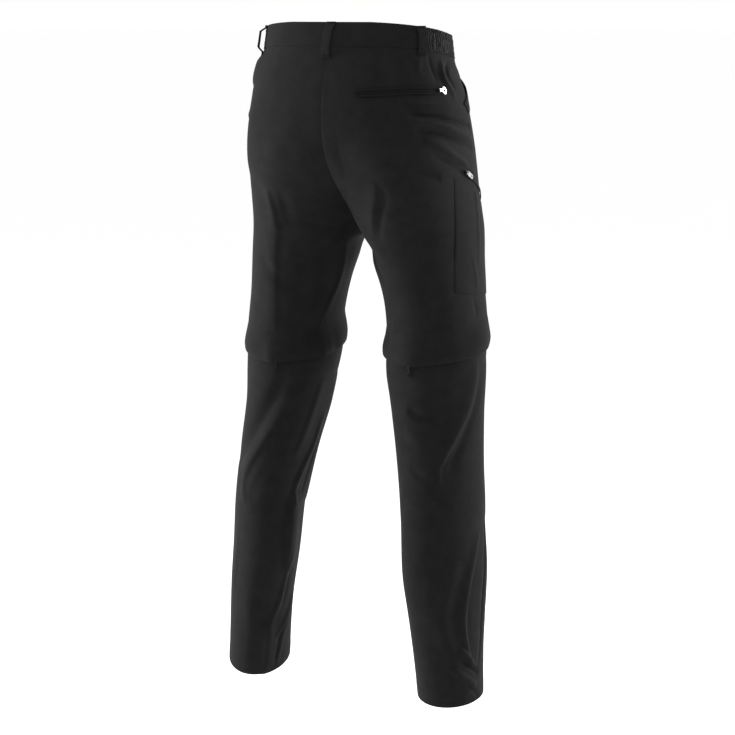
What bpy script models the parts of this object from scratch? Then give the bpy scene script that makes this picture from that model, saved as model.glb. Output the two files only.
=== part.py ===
# Convertible zip-off hiking trousers, filled out and hollow, as if worn by nobody.
# Metres, +Z up. The front faces -Y, the wearer's right is -X, and the origin is the waist:
# the middle of the body at the height of the waistband's top edge at centre back.
import math

import bpy
import bmesh
import numpy as np
from mathutils import Matrix, Vector

# The trousers' own measures. A drop is a height measured down from the waist's top edge.
CLOTH = 0.0013            # cloth wall of the panels
BAND_WALL = 0.0022        # two layers of cloth with interfacing
SEAM = 0.0005             # gap between two pieces that are sewn together
REST = 0.0004             # gap between a panel and what lies on it
BAND_BOTTOM = 0.0335      # waistband height
CROTCH = 0.3000           # rise
ZIP_TOP = 0.4630          # zip-off line at the right knee, its tape's upper edge
ZIP_BOTTOM = 0.4782
LEFT_LOWER = 0.0070       # how much lower the left knee line is, with that leg held straighter
HEM = 0.9960              # outseam
FRONT_DIP = 0.034         # how much lower the waist is at the front than at the back
# The knee line and the hem fall towards the back by this share of the depth, and rise by this
# much on the outer side. Right leg, then left leg, which stands further back and tips more.
KNEE_SLANTS, KNEE_RISES = (0.12, 0.21), (0.0080, 0.0)
HEM_SLANTS, HEM_RISES = (0.12, 0.27), (0.0, 0.0080)
KNEE_FLARE = 0.0030       # how far the storm flap stands out on the inner side of the knee
ELASTIC_BACK, ELASTIC_FRONT = 26.0, -20.0    # degrees from the side seam, towards the back
ELASTIC_RIBS = 15
PANEL_CELLS = 12          # cells across a thigh panel, side seam to rise or inseam
SHIN_CELLS = 9

# One row for each level of the left leg, seen from above as a rounded oval.
# Its inner side may lie past the centre line, where the oval is cut off at the rise seam.
# drop, inner front x, inner back x, outer x, front y, back y, squareness, outward turn in degrees
SECTIONS = [
    (0.000, -0.138, -0.138, 0.137, -0.082, 0.106, 2.4, 0),
    (0.036, -0.142, -0.142, 0.141, -0.090, 0.114, 2.4, 0),
    (0.090, -0.156, -0.154, 0.157, -0.108, 0.130, 2.4, 0),
    (0.150, -0.150, -0.112, 0.166, -0.124, 0.134, 2.3, 0),
    (0.200, -0.130, -0.062, 0.170, -0.134, 0.126, 2.2, 0),
    (0.250, -0.080, -0.021, 0.173, -0.134, 0.108, 2.1, 0),
    (0.300, 0.0008, 0.0008, 0.177, -0.126, 0.092, 2.0, 0),
    (0.340, 0.020, 0.020, 0.180, -0.114, 0.084, 2.0, 0),
    (0.400, 0.040, 0.040, 0.185, -0.104, 0.074, 2.0, 0),
    (0.450, 0.046, 0.046, 0.191, -0.094, 0.072, 2.0, 2),
    (0.500, 0.046, 0.046, 0.192, -0.086, 0.072, 2.0, 5),
    (0.570, 0.061, 0.061, 0.190, -0.070, 0.076, 2.0, 10),
    (0.650, 0.080, 0.080, 0.195, -0.050, 0.088, 2.0, 18),
    (0.730, 0.092, 0.092, 0.202, -0.042, 0.096, 2.0, 24),
    (0.800, 0.099, 0.099, 0.205, -0.040, 0.100, 2.0, 28),
    (0.890, 0.110, 0.110, 0.209, -0.026, 0.096, 2.0, 24),
    (1.000, 0.118, 0.118, 0.214, -0.016, 0.086, 2.0, 15),
]

# The largest folds: a ridge or trough from one place to another, in degrees from the side seam
# towards the back, and drop. A minus height is a trough.
# side (+1 left, -1 right), angle a, drop a, angle b, drop b, half width, height
FOLDS = [
    (-1, 46, 0.110, -14, 0.116, 0.009, -0.0028),
    (-1, 50, 0.129, -20, 0.139, 0.009, 0.0028),
    (-1, 54, 0.152, -16, 0.162, 0.011, -0.0030),
    (-1, 30, 0.146, -16, 0.196, 0.009, 0.0030),
    (1, 40, 0.100, -20, 0.114, 0.010, -0.0026),
    (1, 44, 0.126, -16, 0.140, 0.010, 0.0024),
    (1, 34, 0.150, -24, 0.172, 0.011, -0.0026),
    (-1, 140, 0.262, 100, 0.345, 0.012, 0.0030),
    (-1, 158, 0.290, 118, 0.372, 0.010, -0.0030),
    (1, 140, 0.258, 98, 0.340, 0.012, 0.0028),
    (1, 156, 0.292, 116, 0.366, 0.010, -0.0028),
    (1, 30, 0.205, 84, 0.262, 0.014, -0.0022),
    (-1, -150, 0.268, -84, 0.232, 0.012, 0.0034),
    (-1, -156, 0.290, -92, 0.286, 0.011, -0.0032),
    (1, -150, 0.264, -82, 0.236, 0.012, 0.0034),
    (1, -158, 0.292, -90, 0.290, 0.011, -0.0030),
    (1, 150, 0.405, 60, 0.425, 0.011, -0.0026),
    (-1, 140, 0.412, 50, 0.428, 0.011, -0.0024),
    (1, -60, 0.410, -140, 0.428, 0.012, -0.0026),
    (-1, -56, 0.408, -136, 0.430, 0.012, -0.0026),
    (1, 128, 0.560, 34, 0.710, 0.010, 0.0036),
    (1, 140, 0.585, 60, 0.690, 0.012, -0.0030),
    (1, 178, 0.560, 140, 0.735, 0.008, 0.0024),
    (1, 170, 0.545, 164, 0.745, 0.017, 0.0040),
    (1, -190, 0.545, -196, 0.745, 0.017, 0.0040),
    (1, 100, 0.830, 150, 0.905, 0.011, -0.0028),
    (1, 60, 0.850, 104, 0.945, 0.010, 0.0026),
    (1, -50, 0.560, -130, 0.620, 0.013, -0.0028),
    (1, -60, 0.880, -130, 0.925, 0.012, 0.0030),
    (-1, -12, 0.500, 34, 0.625, 0.008, 0.0036),
    (-1, 60, 0.520, 20, 0.640, 0.011, -0.0030),
    (-1, 96, 0.560, 62, 0.640, 0.012, -0.0022),
    (-1, 0, 0.720, 4, 0.900, 0.008, -0.0026),
    (-1, 24, 0.770, 44, 0.890, 0.011, 0.0030),
    (-1, 30, 0.900, -8, 0.960, 0.010, 0.0026),
    (-1, -50, 0.565, -128, 0.612, 0.013, -0.0028),
    (-1, -62, 0.875, -128, 0.930, 0.012, 0.0030),
]

# Belt loops: side, angle, how far the strap stands off the band, drop of its lower end. The
# centre back one lies on the centre line.
LOOPS = {
    "belt_loop_back_right": (-1, 30.0, 0.0030, 0.0430),
    "belt_loop_back_left": (1, 30.0, 0.0060, 0.0440),
    "belt_loop_front_right": (-1, -42.0, 0.0030, 0.0430),
    "belt_loop_front_left": (1, -42.0, 0.0030, 0.0430),
    "belt_loop_centre_back": (0, 0.0, 0.0062, 0.0490),
}
LOOP_WIDTH = 0.0145

# Zips on the cloth: tape half width, slider and pull sizes.
TAPE_HALF = 0.0017
WELT = 0.0034
SLIDER_LENGTH, SLIDER_WIDTH, SLIDER_HEIGHT = 0.0070, 0.0060, 0.0020
BAIL_INNER, BAIL_OUTER, BAIL_WIDTH = 0.00095, 0.00170, 0.0010
AXIS_HEIGHT = 0.0014      # the pull's pin above the slider's top
PULL_THICK = 0.0008
PIN_HALF = 0.0005
EYE_END = 0.0027          # far edge of the pull's eye, from the pin
EYE_HALF, ARM = 0.0010, 0.0012

COLOURS = {
    "cloth": ((0.013, 0.013, 0.014), 0.85, 0.0),
    "trim": ((0.009, 0.009, 0.010), 0.7, 0.0),
    "zip": ((0.006, 0.006, 0.006), 0.5, 0.0),
    "steel": ((0.75, 0.75, 0.76), 0.25, 1.0),
    "black metal": ((0.02, 0.02, 0.02), 0.35, 1.0),
}


def clear_scene():
    for item in list(bpy.data.objects):
        bpy.data.objects.remove(item, do_unlink=True)


def make_collection(name):
    collection = bpy.data.collections.new(name)
    bpy.context.scene.collection.children.link(collection)
    return collection


def make_material(name):
    colour, roughness, metallic = COLOURS[name]
    material = bpy.data.materials.get(name) or bpy.data.materials.new(name)
    material.use_nodes = True
    shader = material.node_tree.nodes["Principled BSDF"]
    shader.inputs["Base Color"].default_value = (*colour, 1.0)
    shader.inputs["Roughness"].default_value = roughness
    shader.inputs["Metallic"].default_value = metallic
    return material


# The body's surface


def section_at(drop):
    """The section's columns at any drop, on a smooth curve through the rows."""
    rows = np.array(SECTIONS, float)
    at, values = rows[:, 0], rows[:, 1:]
    slopes = np.gradient(values, at, axis=0)
    drop = np.clip(drop, at[0], at[-1])
    i = np.clip(np.searchsorted(at, drop) - 1, 0, len(at) - 2)
    span = (at[i + 1] - at[i])[:, None]
    s = (drop - at[i])[:, None] / span
    return ((2 * s**3 - 3 * s**2 + 1) * values[i] + (s**3 - 2 * s**2 + s) * span * slopes[i]
            + (3 * s**2 - 2 * s**3) * values[i + 1] + (s**3 - s**2) * span * slopes[i + 1])


def oval(drop, angle):
    """Left leg: x and y at drops and angles, 0 at the side seam, 90 at the back, 180 inside."""
    inner_front, inner_back, outer, front, back, square, turn = section_at(drop).T
    c, s = np.cos(np.radians(angle)), np.sin(np.radians(angle))
    inner = np.where(s < 0, inner_front, inner_back)
    power = 2.0 / square
    dx = (outer - inner) / 2 * np.sign(c) * np.abs(c) ** power
    dy = (back - front) / 2 * np.sign(s) * np.abs(s) ** power
    t = np.radians(turn)
    x = (inner + outer) / 2 + dx * np.cos(t) - dy * np.sin(t)
    y = (front + back) / 2 + dx * np.sin(t) + dy * np.cos(t)
    return x, y


def height(side, drop, x, y):
    """The level curves: the waist dips to the front, knee and hem fall to the back."""
    leg = 1 if side > 0 else 0
    waist = FRONT_DIP / 2 * (1 - np.clip(y / 0.10, -1, 1)) * np.clip(1 - drop / 0.30, 0, 1)
    knee = KNEE_SLANTS[leg] * y - KNEE_RISES[leg] * np.clip((x - 0.05) / 0.14, 0, 1.2) ** 2
    knee *= np.clip((drop - 0.35) / 0.1, 0, 1) * np.clip((0.58 - drop) / 0.1, 0, 1)
    hem = HEM_SLANTS[leg] * (y - 0.04) - HEM_RISES[leg] * np.clip((x - 0.13) / 0.08, 0, 1.2) ** 2
    hem *= np.clip((drop - 0.85) / 0.15, 0, 1)
    return -drop - waist - knee - hem


def plain_point(side, drop, angle):
    x, y = oval(drop, angle)
    return np.stack([side * x, y, height(side, drop, x, y)], axis=1)


def plain_normal(side, drop, angle):
    around = plain_point(side, drop, angle + 1.0) - plain_point(side, drop, angle - 1.0)
    step = 0.002
    down = plain_point(side, drop + step, angle) - plain_point(side, drop - step, angle)
    normal = np.cross(down, around) * side
    return normal / np.linalg.norm(normal, axis=1, keepdims=True)


def relief(side, drop, angle):
    """How far the folds move a point out of the plain surface."""
    section = section_at(drop)
    radius = ((section[:, 2] - section[:, 1]) + (section[:, 4] - section[:, 3])) / 4
    out = np.zeros_like(drop)
    for fold_side, angle_a, drop_a, angle_b, drop_b, half_width, rise in FOLDS:
        if fold_side != side:
            continue
        arc = np.radians(angle_b - angle_a) * radius
        fall = drop_b - drop_a
        here_arc = np.radians(angle - angle_a) * radius
        here_fall = drop - drop_a
        length2 = arc**2 + fall**2
        t = (here_arc * arc + here_fall * fall) / length2
        away = (here_arc * fall - here_fall * arc) / np.sqrt(length2)
        fade = np.clip(4 * t * (1 - t), 0, 1) ** 0.7
        out += rise * fade * np.exp(-(away / half_width) ** 2)
    x, _ = oval(drop, angle)
    ends = np.clip((drop - BAND_BOTTOM) / 0.03, 0, 1) * np.clip((np.abs(x) - 0.004) / 0.02, 0, 1)
    knee = np.clip(np.abs(drop - sum(zip_levels(side)) / 2) / 0.03 - 0.35, 0, 1)
    return out * ends * knee


def cloth_point(side, drop, angle, out=0.0):
    """A point on the worn cloth, moved out by a distance, with flat arrays in and out."""
    drop, angle = np.broadcast_arrays(np.atleast_1d(drop).astype(float), np.atleast_1d(angle).astype(float))
    shift = relief(side, drop, angle) + out
    return plain_point(side, drop, angle) + plain_normal(side, drop, angle) * shift[:, None]


def rise_angle(drop, back):
    """The angle where a level meets its centre seam, or the inseam below the crotch."""
    fine = np.linspace(60.0, 180.0, 481)
    result = []
    for d in np.atleast_1d(drop):
        if d > CROTCH - 1e-6:
            section = section_at(np.array([d]))[0]
            radius = (section[4] - section[3]) / 2
            result.append(180.0 - math.degrees(SEAM / 2 / radius))
            continue
        x, _ = oval(np.full_like(fine, d), fine if back else -fine)
        result.append(float(np.interp(-0.6 * SEAM, -x, fine)))
    return np.array(result)


def side_angle(drop):
    """Half the gap of the side seam, as an angle."""
    section = section_at(np.atleast_1d(drop))
    return np.degrees(SEAM / 2 / ((section[:, 4] - section[:, 3]) / 2))


def zip_levels(side):
    """The upper and lower edge of the zip-off line."""
    lower = LEFT_LOWER if side > 0 else 0.0
    return ZIP_TOP + lower, ZIP_BOTTOM + lower


def thigh_drops(side):
    t = np.linspace(0, 1, 15)
    upper = BAND_BOTTOM + SEAM / 2 + (CROTCH - BAND_BOTTOM - SEAM / 2) * (1 - (1 - t) ** 1.2)
    lower = np.linspace(CROTCH, zip_levels(side)[0] - SEAM / 2, 9)
    return np.concatenate([upper, lower[1:]])


def shin_drops(side):
    return np.linspace(zip_levels(side)[1] + SEAM / 2, HEM, 24)


# Grids and walls


def grid_mesh(name, points, flip):
    """An open sheet of quads from a rows x columns x 3 array."""
    rows, columns = points.shape[:2]
    mesh = bpy.data.meshes.new(name)
    bm = bmesh.new()
    verts = [[bm.verts.new(points[r, c]) for c in range(columns)] for r in range(rows)]
    for r in range(rows - 1):
        for c in range(columns - 1):
            loop = [verts[r][c], verts[r + 1][c], verts[r + 1][c + 1], verts[r][c + 1]]
            bm.faces.new(loop[::-1] if flip else loop)
    bm.to_mesh(mesh)
    bm.free()
    return mesh


def ring_mesh(name, points, flip):
    """A sheet closed around: the last column joins the first."""
    rows, columns = points.shape[:2]
    mesh = bpy.data.meshes.new(name)
    bm = bmesh.new()
    verts = [[bm.verts.new(points[r, c]) for c in range(columns)] for r in range(rows)]
    for r in range(rows - 1):
        for c in range(columns):
            n = (c + 1) % columns
            loop = [verts[r][c], verts[r + 1][c], verts[r + 1][n], verts[r][n]]
            bm.faces.new(loop[::-1] if flip else loop)
    bm.to_mesh(mesh)
    bm.free()
    return mesh


def add_object(name, mesh, material):
    for face in mesh.polygons:
        face.use_smooth = True
    mesh.set_sharp_from_angle(angle=math.radians(40))
    item = bpy.data.objects.new(name, mesh)
    item.data.materials.append(make_material(material))
    parts.objects.link(item)
    return item


def wall(name, mesh, thickness, material):
    """A cloth wall, centred on its sheet."""
    item = add_object(name, mesh, material)
    solid = item.modifiers.new("wall", "SOLIDIFY")
    solid.thickness = thickness
    solid.offset = 0.0
    solid.use_even_offset = False
    return item


def panel(name, side, back, drops, cells, thickness, out, material):
    """A leg panel from the side seam to the rise and inseam."""
    start, end = side_angle(drops), rise_angle(drops, back)
    share = np.linspace(0, 1, cells + 1)
    angles = start[:, None] + (end - start)[:, None] * share[None, :]
    if not back:
        angles = -angles
    grid = np.broadcast_to(drops[:, None], angles.shape)
    points = cloth_point(side, grid.ravel(), angles.ravel(), out - thickness / 2)
    mesh = grid_mesh(name, points.reshape(*angles.shape, 3), flip=(side > 0) != back)
    return wall(name, mesh, thickness, material)


class Facets:
    """The faceted outer face of one leg's panels, for what lies on them."""

    def __init__(self, side, drops, cells):
        self.side, self.drops = side, drops
        share = np.linspace(0, 1, cells + 1)
        self.share = np.concatenate([-share[:0:-1], share])
        self.ends = {True: rise_angle(drops, True), False: rise_angle(drops, False)}
        ends = np.where(self.share[None, :] < 0, self.ends[False][:, None], self.ends[True][:, None])
        angles = ends * self.share[None, :]
        grid = np.broadcast_to(drops[:, None], angles.shape)
        self.points = cloth_point(side, grid.ravel(), angles.ravel()).reshape(*angles.shape, 3)
        self.normals = plain_normal(side, grid.ravel(), angles.ravel()).reshape(*angles.shape, 3)

    def at(self, drop, angle, out):
        """A point on the facets at a drop and an angle, moved out."""
        end = np.interp(drop, self.drops, self.ends[angle >= 0])
        row = np.interp(drop, self.drops, np.arange(len(self.drops)))
        column = np.interp(angle / end, self.share, np.arange(len(self.share)))
        r, c = min(int(row), len(self.drops) - 2), min(int(column), len(self.share) - 2)
        v, u = row - r, column - c
        weights = ((r, c, (1 - v) * (1 - u)), (r, c + 1, (1 - v) * u), (r + 1, c, v * (1 - u)), (r + 1, c + 1, v * u))
        point = sum(w * self.points[i, j] for i, j, w in weights)
        normal = sum(w * self.normals[i, j] for i, j, w in weights)
        normal = normal / np.linalg.norm(normal)
        return point + normal * out, normal


def patch_mesh(name, facets, corners, cells_across, cells_down, out, bow=None):
    """A sheet on the panels between four (angle, drop) corners: top a, top b, bottom a, bottom b."""
    top_a, top_b, bottom_a, bottom_b = (np.array(corner, float) for corner in corners)
    points = np.zeros((cells_down + 1, cells_across + 1, 3))
    for r in range(cells_down + 1):
        v = r / cells_down
        for c in range(cells_across + 1):
            u = c / cells_across
            angle, drop = (1 - v) * ((1 - u) * top_a + u * top_b) + v * ((1 - u) * bottom_a + u * bottom_b)
            extra = bow(u, v) if bow else 0.0
            points[r, c] = facets.at(drop, angle, out + extra)[0]
    return grid_mesh(name, points, flip=(facets.side > 0) != (top_a[0] < top_b[0]))


# Waistband


def band_sheet(columns, out, rows=2):
    """A strip of the waistband through (side, angle, extra out) columns."""
    levels = np.linspace(0.0, BAND_BOTTOM - SEAM / 2, rows + 1)
    points = np.zeros((len(levels), len(columns), 3))
    for c, (side, angle, extra) in enumerate(columns):
        points[:, c] = cloth_point(side, levels, angle, out + extra)
    return points


def waistband():
    middle = 0.0007 - BAND_WALL / 2
    seam = 2 * math.degrees(SEAM / 2 / 0.10)
    centre_back = float(rise_angle(0.018, True)[0])
    half = np.linspace(ELASTIC_BACK + seam, centre_back, 9)
    columns = [(-1, a, 0.0) for a in half[:-1]] + [(1, a, 0.0) for a in half[:-1][::-1]]
    mesh = grid_mesh("waistband_back", band_sheet(columns, middle), flip=False)
    wall("waistband_back", mesh, BAND_WALL, "cloth")
    for side, word in ((-1, "right"), (1, "left")):
        centre_front = -float(rise_angle(0.018, False)[0])
        columns = [(side, a, 0.0) for a in np.linspace(ELASTIC_FRONT - seam, centre_front, 9)]
        name = f"waistband_front_{word}"
        wall(name, grid_mesh(name, band_sheet(columns, middle), flip=side > 0), BAND_WALL, "cloth")
        # The elastic gathers the side into ribs, a little uneven.
        columns = []
        count = ELASTIC_RIBS * 4
        for i in range(count + 1):
            t = i / count
            wave = math.sin(2 * math.pi * ELASTIC_RIBS * (t + 0.006 * math.sin(9 * math.pi * t)))
            depth = 0.0010 * (0.75 + 0.25 * math.sin(14 * math.pi * t + side))
            fade = min(1.0, max(0.0, min(t, 1 - t) / 0.07 - 0.4))
            columns.append((side, ELASTIC_BACK + (ELASTIC_FRONT - ELASTIC_BACK) * t, depth * wave * fade))
        name = f"waistband_elastic_{word}"
        wall(name, grid_mesh(name, band_sheet(columns, middle, 1), flip=side > 0), BAND_WALL, "cloth")


def belt_loop(name, place, stand_off, lower_end):
    """A strap that stands off the waistband between its two sewn ends."""
    levels = np.linspace(-0.0005, lower_end, 10)
    points = np.zeros((len(levels), 2, 3))
    for r, level in enumerate(levels):
        t = r / (len(levels) - 1)
        bulge = stand_off * min(1.0, 2.2 * max(0.0, math.sin(math.pi * t) - 0.25)) ** 1.2
        seat = 0.0018 - 0.0006 * min(1.0, max(0.0, (level - BAND_BOTTOM) / 0.005))
        base, across = place(level)
        for c in range(2):
            points[r, c] = base[0] + across * (c - 0.5) * LOOP_WIDTH + base[1] * (seat + bulge)
    return wall(name, grid_mesh(name, points, flip=False), 0.0013, "cloth")


def belt_loops():
    for name, (side, angle, stand_off, lower_end) in LOOPS.items():
        def place(level, side=side, angle=angle):
            drop = np.array([max(level, 0.0)])
            if side == 0:
                at = plain_point(1, drop, rise_angle(drop, True))[0]
                at[0] = 0.0
                at[2] -= min(level, 0.0)
                return (at, np.array((0, 1.0, 0))), np.array((-1.0, 0, 0))
            at = plain_point(side, drop, np.array([angle]))[0]
            normal = plain_normal(side, drop + 0.003, np.array([angle]))[0]
            at[2] -= min(level, 0.0)
            across = np.cross((0, 0, 1.0), normal)
            return (at, normal), across / np.linalg.norm(across)
        belt_loop(name, place, stand_off, lower_end)


# Front closing


def fly(facets):
    """The left front's flap over the fly zip, narrowing in a curve at its lower end."""
    top, bottom, width = BAND_BOTTOM + 0.0006, 0.196, 0.038
    rows, across = 12, 4
    points = np.zeros((rows + 1, across + 1, 3))
    for r in range(rows + 1):
        v = r / rows
        drop = top + (bottom - top) * v
        reach = width * math.sqrt(max(0.06, 1 - max(0.0, (v - 0.72) / 0.28) ** 2))
        fine = np.linspace(-60, -150, 200)
        x, _ = oval(np.full(200, drop), fine)
        edge = -float(rise_angle(drop, False)[0])
        for c in range(across + 1):
            target = SEAM + (reach - SEAM) * c / across
            angle = float(np.interp(-target, -x, fine))
            angle = max(angle, edge)
            points[r, c] = facets.at(drop, angle, REST + 0.0009)[0]
    return wall("fly_flap", grid_mesh("fly_flap", points, flip=True), 0.0012, "cloth")


def frame_at(point, normal, along):
    """A matrix with X along a direction on the cloth and Z out of it."""
    z = Vector(normal).normalized()
    x = Vector(along)
    x = (x - z * x.dot(z)).normalized()
    y = z.cross(x)
    place = Matrix((x, y, z)).transposed().to_4x4()
    place.translation = Vector(point)
    return place


def waist_button():
    angle = np.array([-84.0])
    drop = np.array([BAND_BOTTOM / 2])
    point, normal = plain_point(1, drop, angle)[0], plain_normal(1, drop, angle)[0]
    place = frame_at(point + normal * (0.0007 + REST + 0.0015), normal, (0, 0, 1))
    mesh = bpy.data.meshes.new("waist_button")
    bm = bmesh.new()
    bmesh.ops.create_cone(bm, cap_ends=True, segments=24, radius1=0.0085, radius2=0.0085, depth=0.003)
    bm.to_mesh(mesh)
    bm.free()
    item = add_object("waist_button", mesh, "black metal")
    item.matrix_world = place
    edge = item.modifiers.new("rim", "BEVEL")
    edge.width = 0.0009
    edge.segments = 1


# Pockets


def hand_pocket(facets, word):
    """The turned edge of the slanted hand pocket, standing off a little in the middle."""
    start, end = (-56.0, BAND_BOTTOM + 0.0010), (-3.0, 0.1040)
    corners = (start, end, (start[0] + 2.0, start[1] + 0.017), (end[0] - 7.0, end[1] + 0.014))

    def gape(u, v):
        return 0.0044 * math.sin(math.pi * min(1.0, 0.25 + 0.8 * u)) ** 2 * (1 - v)
    name = f"hand_pocket_edge_{word}"
    mesh = patch_mesh(name, facets, corners, 14, 2, REST + 0.0010, gape)
    return wall(name, mesh, 0.0012, "cloth")


def line_place(facets, a, b, t, out):
    """A frame on the line between two (angle, drop) places, X along it."""
    def at(share):
        angle, drop = (np.array(a) * (1 - share) + np.array(b) * share)
        return facets.at(drop, angle, out)
    point, normal = at(t)
    ahead, behind = at(t + 0.03)[0], at(t - 0.03)[0]
    return frame_at(point, normal, ahead - behind)


def beside(facets, place, direction, offset):
    """The (angle, drop) place at an offset across a line, measured on the cloth."""
    section = section_at(np.array([place[1]]))[0]
    radius = (section[4] - section[3]) / 2
    run = math.hypot(math.radians(direction[0]) * radius, direction[1])
    across = (-direction[1] / run, math.radians(direction[0]) * radius / run)
    if across[1] < 0:
        across = (-across[0], -across[1])
    return place[0] + math.degrees(offset * across[0] / radius), place[1] + offset * across[1]


def strip(name, facets, a, b, low, high, cells, thickness, material):
    """A strip along the line between two places, from one offset across it to another."""
    direction = (b[0] - a[0], b[1] - a[1])
    corners = [beside(facets, place, direction, offset) for offset in (low, high) for place in (a, b)]
    mesh = patch_mesh(name, facets, corners, cells, 1, REST + 0.0001 + thickness / 2)
    return wall(name, mesh, thickness, material)


def extruded(name, outlines, depth, material, collection):
    """A flat outline with holes, given a thickness, as a mesh about its middle plane."""
    curve = bpy.data.curves.new(name, "CURVE")
    curve.dimensions = "2D"
    curve.fill_mode = "BOTH"
    curve.extrude = depth / 2
    for outline in outlines:
        spline = curve.splines.new("POLY")
        spline.points.add(len(outline) - 1)
        for point, (x, y) in zip(spline.points, outline):
            point.co = (x, y, 0, 1)
        spline.use_cyclic_u = True
    source = bpy.data.objects.new(name + "_outline", curve)
    bpy.context.scene.collection.objects.link(source)
    bpy.context.view_layer.update()
    mesh = bpy.data.meshes.new_from_object(source.evaluated_get(bpy.context.evaluated_depsgraph_get()))
    bpy.data.objects.remove(source, do_unlink=True)
    bm = bmesh.new()
    bm.from_mesh(mesh)
    bmesh.ops.remove_doubles(bm, verts=bm.verts, dist=1e-6)
    bmesh.ops.recalc_face_normals(bm, faces=bm.faces)
    bm.to_mesh(mesh)
    bm.free()
    mesh.name = name
    item = bpy.data.objects.new(name, mesh)
    mesh.materials.clear()
    mesh.materials.append(make_material(material))
    collection.objects.link(item)
    return item


def arc(cx, cy, radius, start, end, count):
    angles = np.radians(np.linspace(start, end, count))
    return [(cx + radius * math.cos(a), cy + radius * math.sin(a)) for a in angles]


def slider(name, place, material):
    """A slider on its zip with a bail, an arch that holds the pull's pin."""
    mesh = bpy.data.meshes.new(name)
    bm = bmesh.new()
    bmesh.ops.create_cube(bm, size=1.0)
    size = Matrix.Diagonal((SLIDER_LENGTH, SLIDER_WIDTH, SLIDER_HEIGHT, 1))
    bmesh.ops.transform(bm, matrix=size, verts=bm.verts)
    edges = [e for e in bm.edges if abs(e.verts[0].co.z - e.verts[1].co.z) > SLIDER_HEIGHT / 2]
    bmesh.ops.bevel(bm, geom=edges, offset=0.0016, segments=3, affect="EDGES", profile=0.5)
    bmesh.ops.translate(bm, vec=(0, 0, SLIDER_HEIGHT / 2), verts=bm.verts)
    bm.to_mesh(mesh)
    bm.free()
    body = add_object(name, mesh, material)
    foot = SLIDER_HEIGHT - 0.0006
    pin = SLIDER_HEIGHT + AXIS_HEIGHT
    outside = [(-BAIL_OUTER, foot), (BAIL_OUTER, foot)] + arc(0, pin, BAIL_OUTER, 0, 180, 11)
    hole_foot = SLIDER_HEIGHT + 0.0002
    inside = [(-BAIL_INNER, hole_foot), (BAIL_INNER, hole_foot)] + arc(0, pin, BAIL_INNER, 0, 180, 9)
    bail = extruded(name + "_bail", [outside, inside], BAIL_WIDTH, material, cutters)
    bail.data.transform(Matrix.Rotation(math.radians(90), 4, "X"))
    bail.hide_render = True
    bail.display_type = "WIRE"
    bail.matrix_world = place
    body.matrix_world = place
    union = body.modifiers.new("bail", "BOOLEAN")
    union.operation = "UNION"
    union.solver = "EXACT"
    union.object = bail
    return body


def pull(name, place, tilt, outline, holes, material):
    """A flat pull whose origin is its pin, turned down by a tilt from the slider's plane."""
    eye = [(PIN_HALF, -EYE_HALF), (EYE_END, -EYE_HALF), (EYE_END, EYE_HALF), (PIN_HALF, EYE_HALF)]
    item = extruded(name, [outline, eye] + holes, PULL_THICK, material, parts)
    pin = place @ Matrix.Translation((0, 0, SLIDER_HEIGHT + AXIS_HEIGHT))
    item.matrix_world = pin @ Matrix.Rotation(math.radians(tilt), 4, "Y")
    return item


def neck(reach):
    """The pull's root: the two arms beside the eye, as the outline's start and end."""
    half = EYE_HALF + ARM
    return [(reach, half), (-PIN_HALF, half), (-PIN_HALF, -half), (reach, -half)]


def round_pull():
    radius, centre = 0.0052, 0.0106
    half = EYE_HALF + ARM
    meet = math.degrees(math.asin(half / radius))
    disc = arc(centre, 0, radius, -180 + meet, 180 - meet, 25)
    hole = arc(centre + 0.0004, 0, 0.0019, 0, 330, 12)
    return neck(centre - radius * math.cos(math.radians(meet)))[1:3] + disc, [hole]


def long_pull(length, half, slot):
    shoulder = 0.0045
    tip = arc(length - half, 0, half, -90, 90, 9)
    outline = neck(0.0034)[1:] + [(shoulder, -half)] + tip + [(shoulder, half), neck(0.0034)[0]]
    hole = arc(length - half, 0, slot, -90, 90, 7) + arc(length - half - 0.004, 0, slot, 90, 270, 7)
    return outline, [hole]


def back_pocket(facets):
    a, b = (76.0, 0.0950), (18.5, 0.0895)
    strip("back_pocket_welt_upper", facets, a, b, -TAPE_HALF - 0.0003 - WELT, -TAPE_HALF - 0.0003,
          24, 0.0012, "trim")
    strip("back_pocket_welt_lower", facets, a, b, TAPE_HALF + 0.0003, TAPE_HALF + 0.0003 + WELT,
          24, 0.0012, "trim")
    strip("back_pocket_zip", facets, a, b, -TAPE_HALF, TAPE_HALF, 24, 0.0010, "zip")
    place = line_place(facets, a, b, 0.945, REST + 0.0012 + REST)
    slider("back_pocket_slider", place, "black metal")
    outline, holes = round_pull()
    pull("back_pocket_pull", place, 11.0, outline, holes, "steel")


def thigh_pocket(facets):
    top_a, top_b, bottom_a, bottom_b = (20.0, 0.2140), (-36.0, 0.2740), (38.5, 0.3820), (-40.0, 0.4080)

    def fullness(u, v):
        return 0.0028 * (math.sin(math.pi * u) * math.sin(math.pi * v)) ** 0.5
    mesh = patch_mesh("thigh_pocket", facets, (top_a, top_b, bottom_a, bottom_b), 12, 13,
                      REST + 0.0009, fullness)
    wall("thigh_pocket", mesh, 0.0013, "cloth")
    a, b = (21.0, 0.1900), (-36.0, 0.2610)
    strip("thigh_pocket_zip", facets, a, b, -0.0028, 0.0028, 28, 0.0011, "zip")
    place = line_place(facets, a, b, 0.24, REST + 0.0011 + REST)
    slider("thigh_pocket_slider", place, "black metal")
    outline, holes = long_pull(0.0220, 0.0032, 0.0010)
    pull("thigh_pocket_pull", place, 7.0, outline, holes, "steel")


# Knee


KNEE_PULL_ANGLE = 93.0


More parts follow.
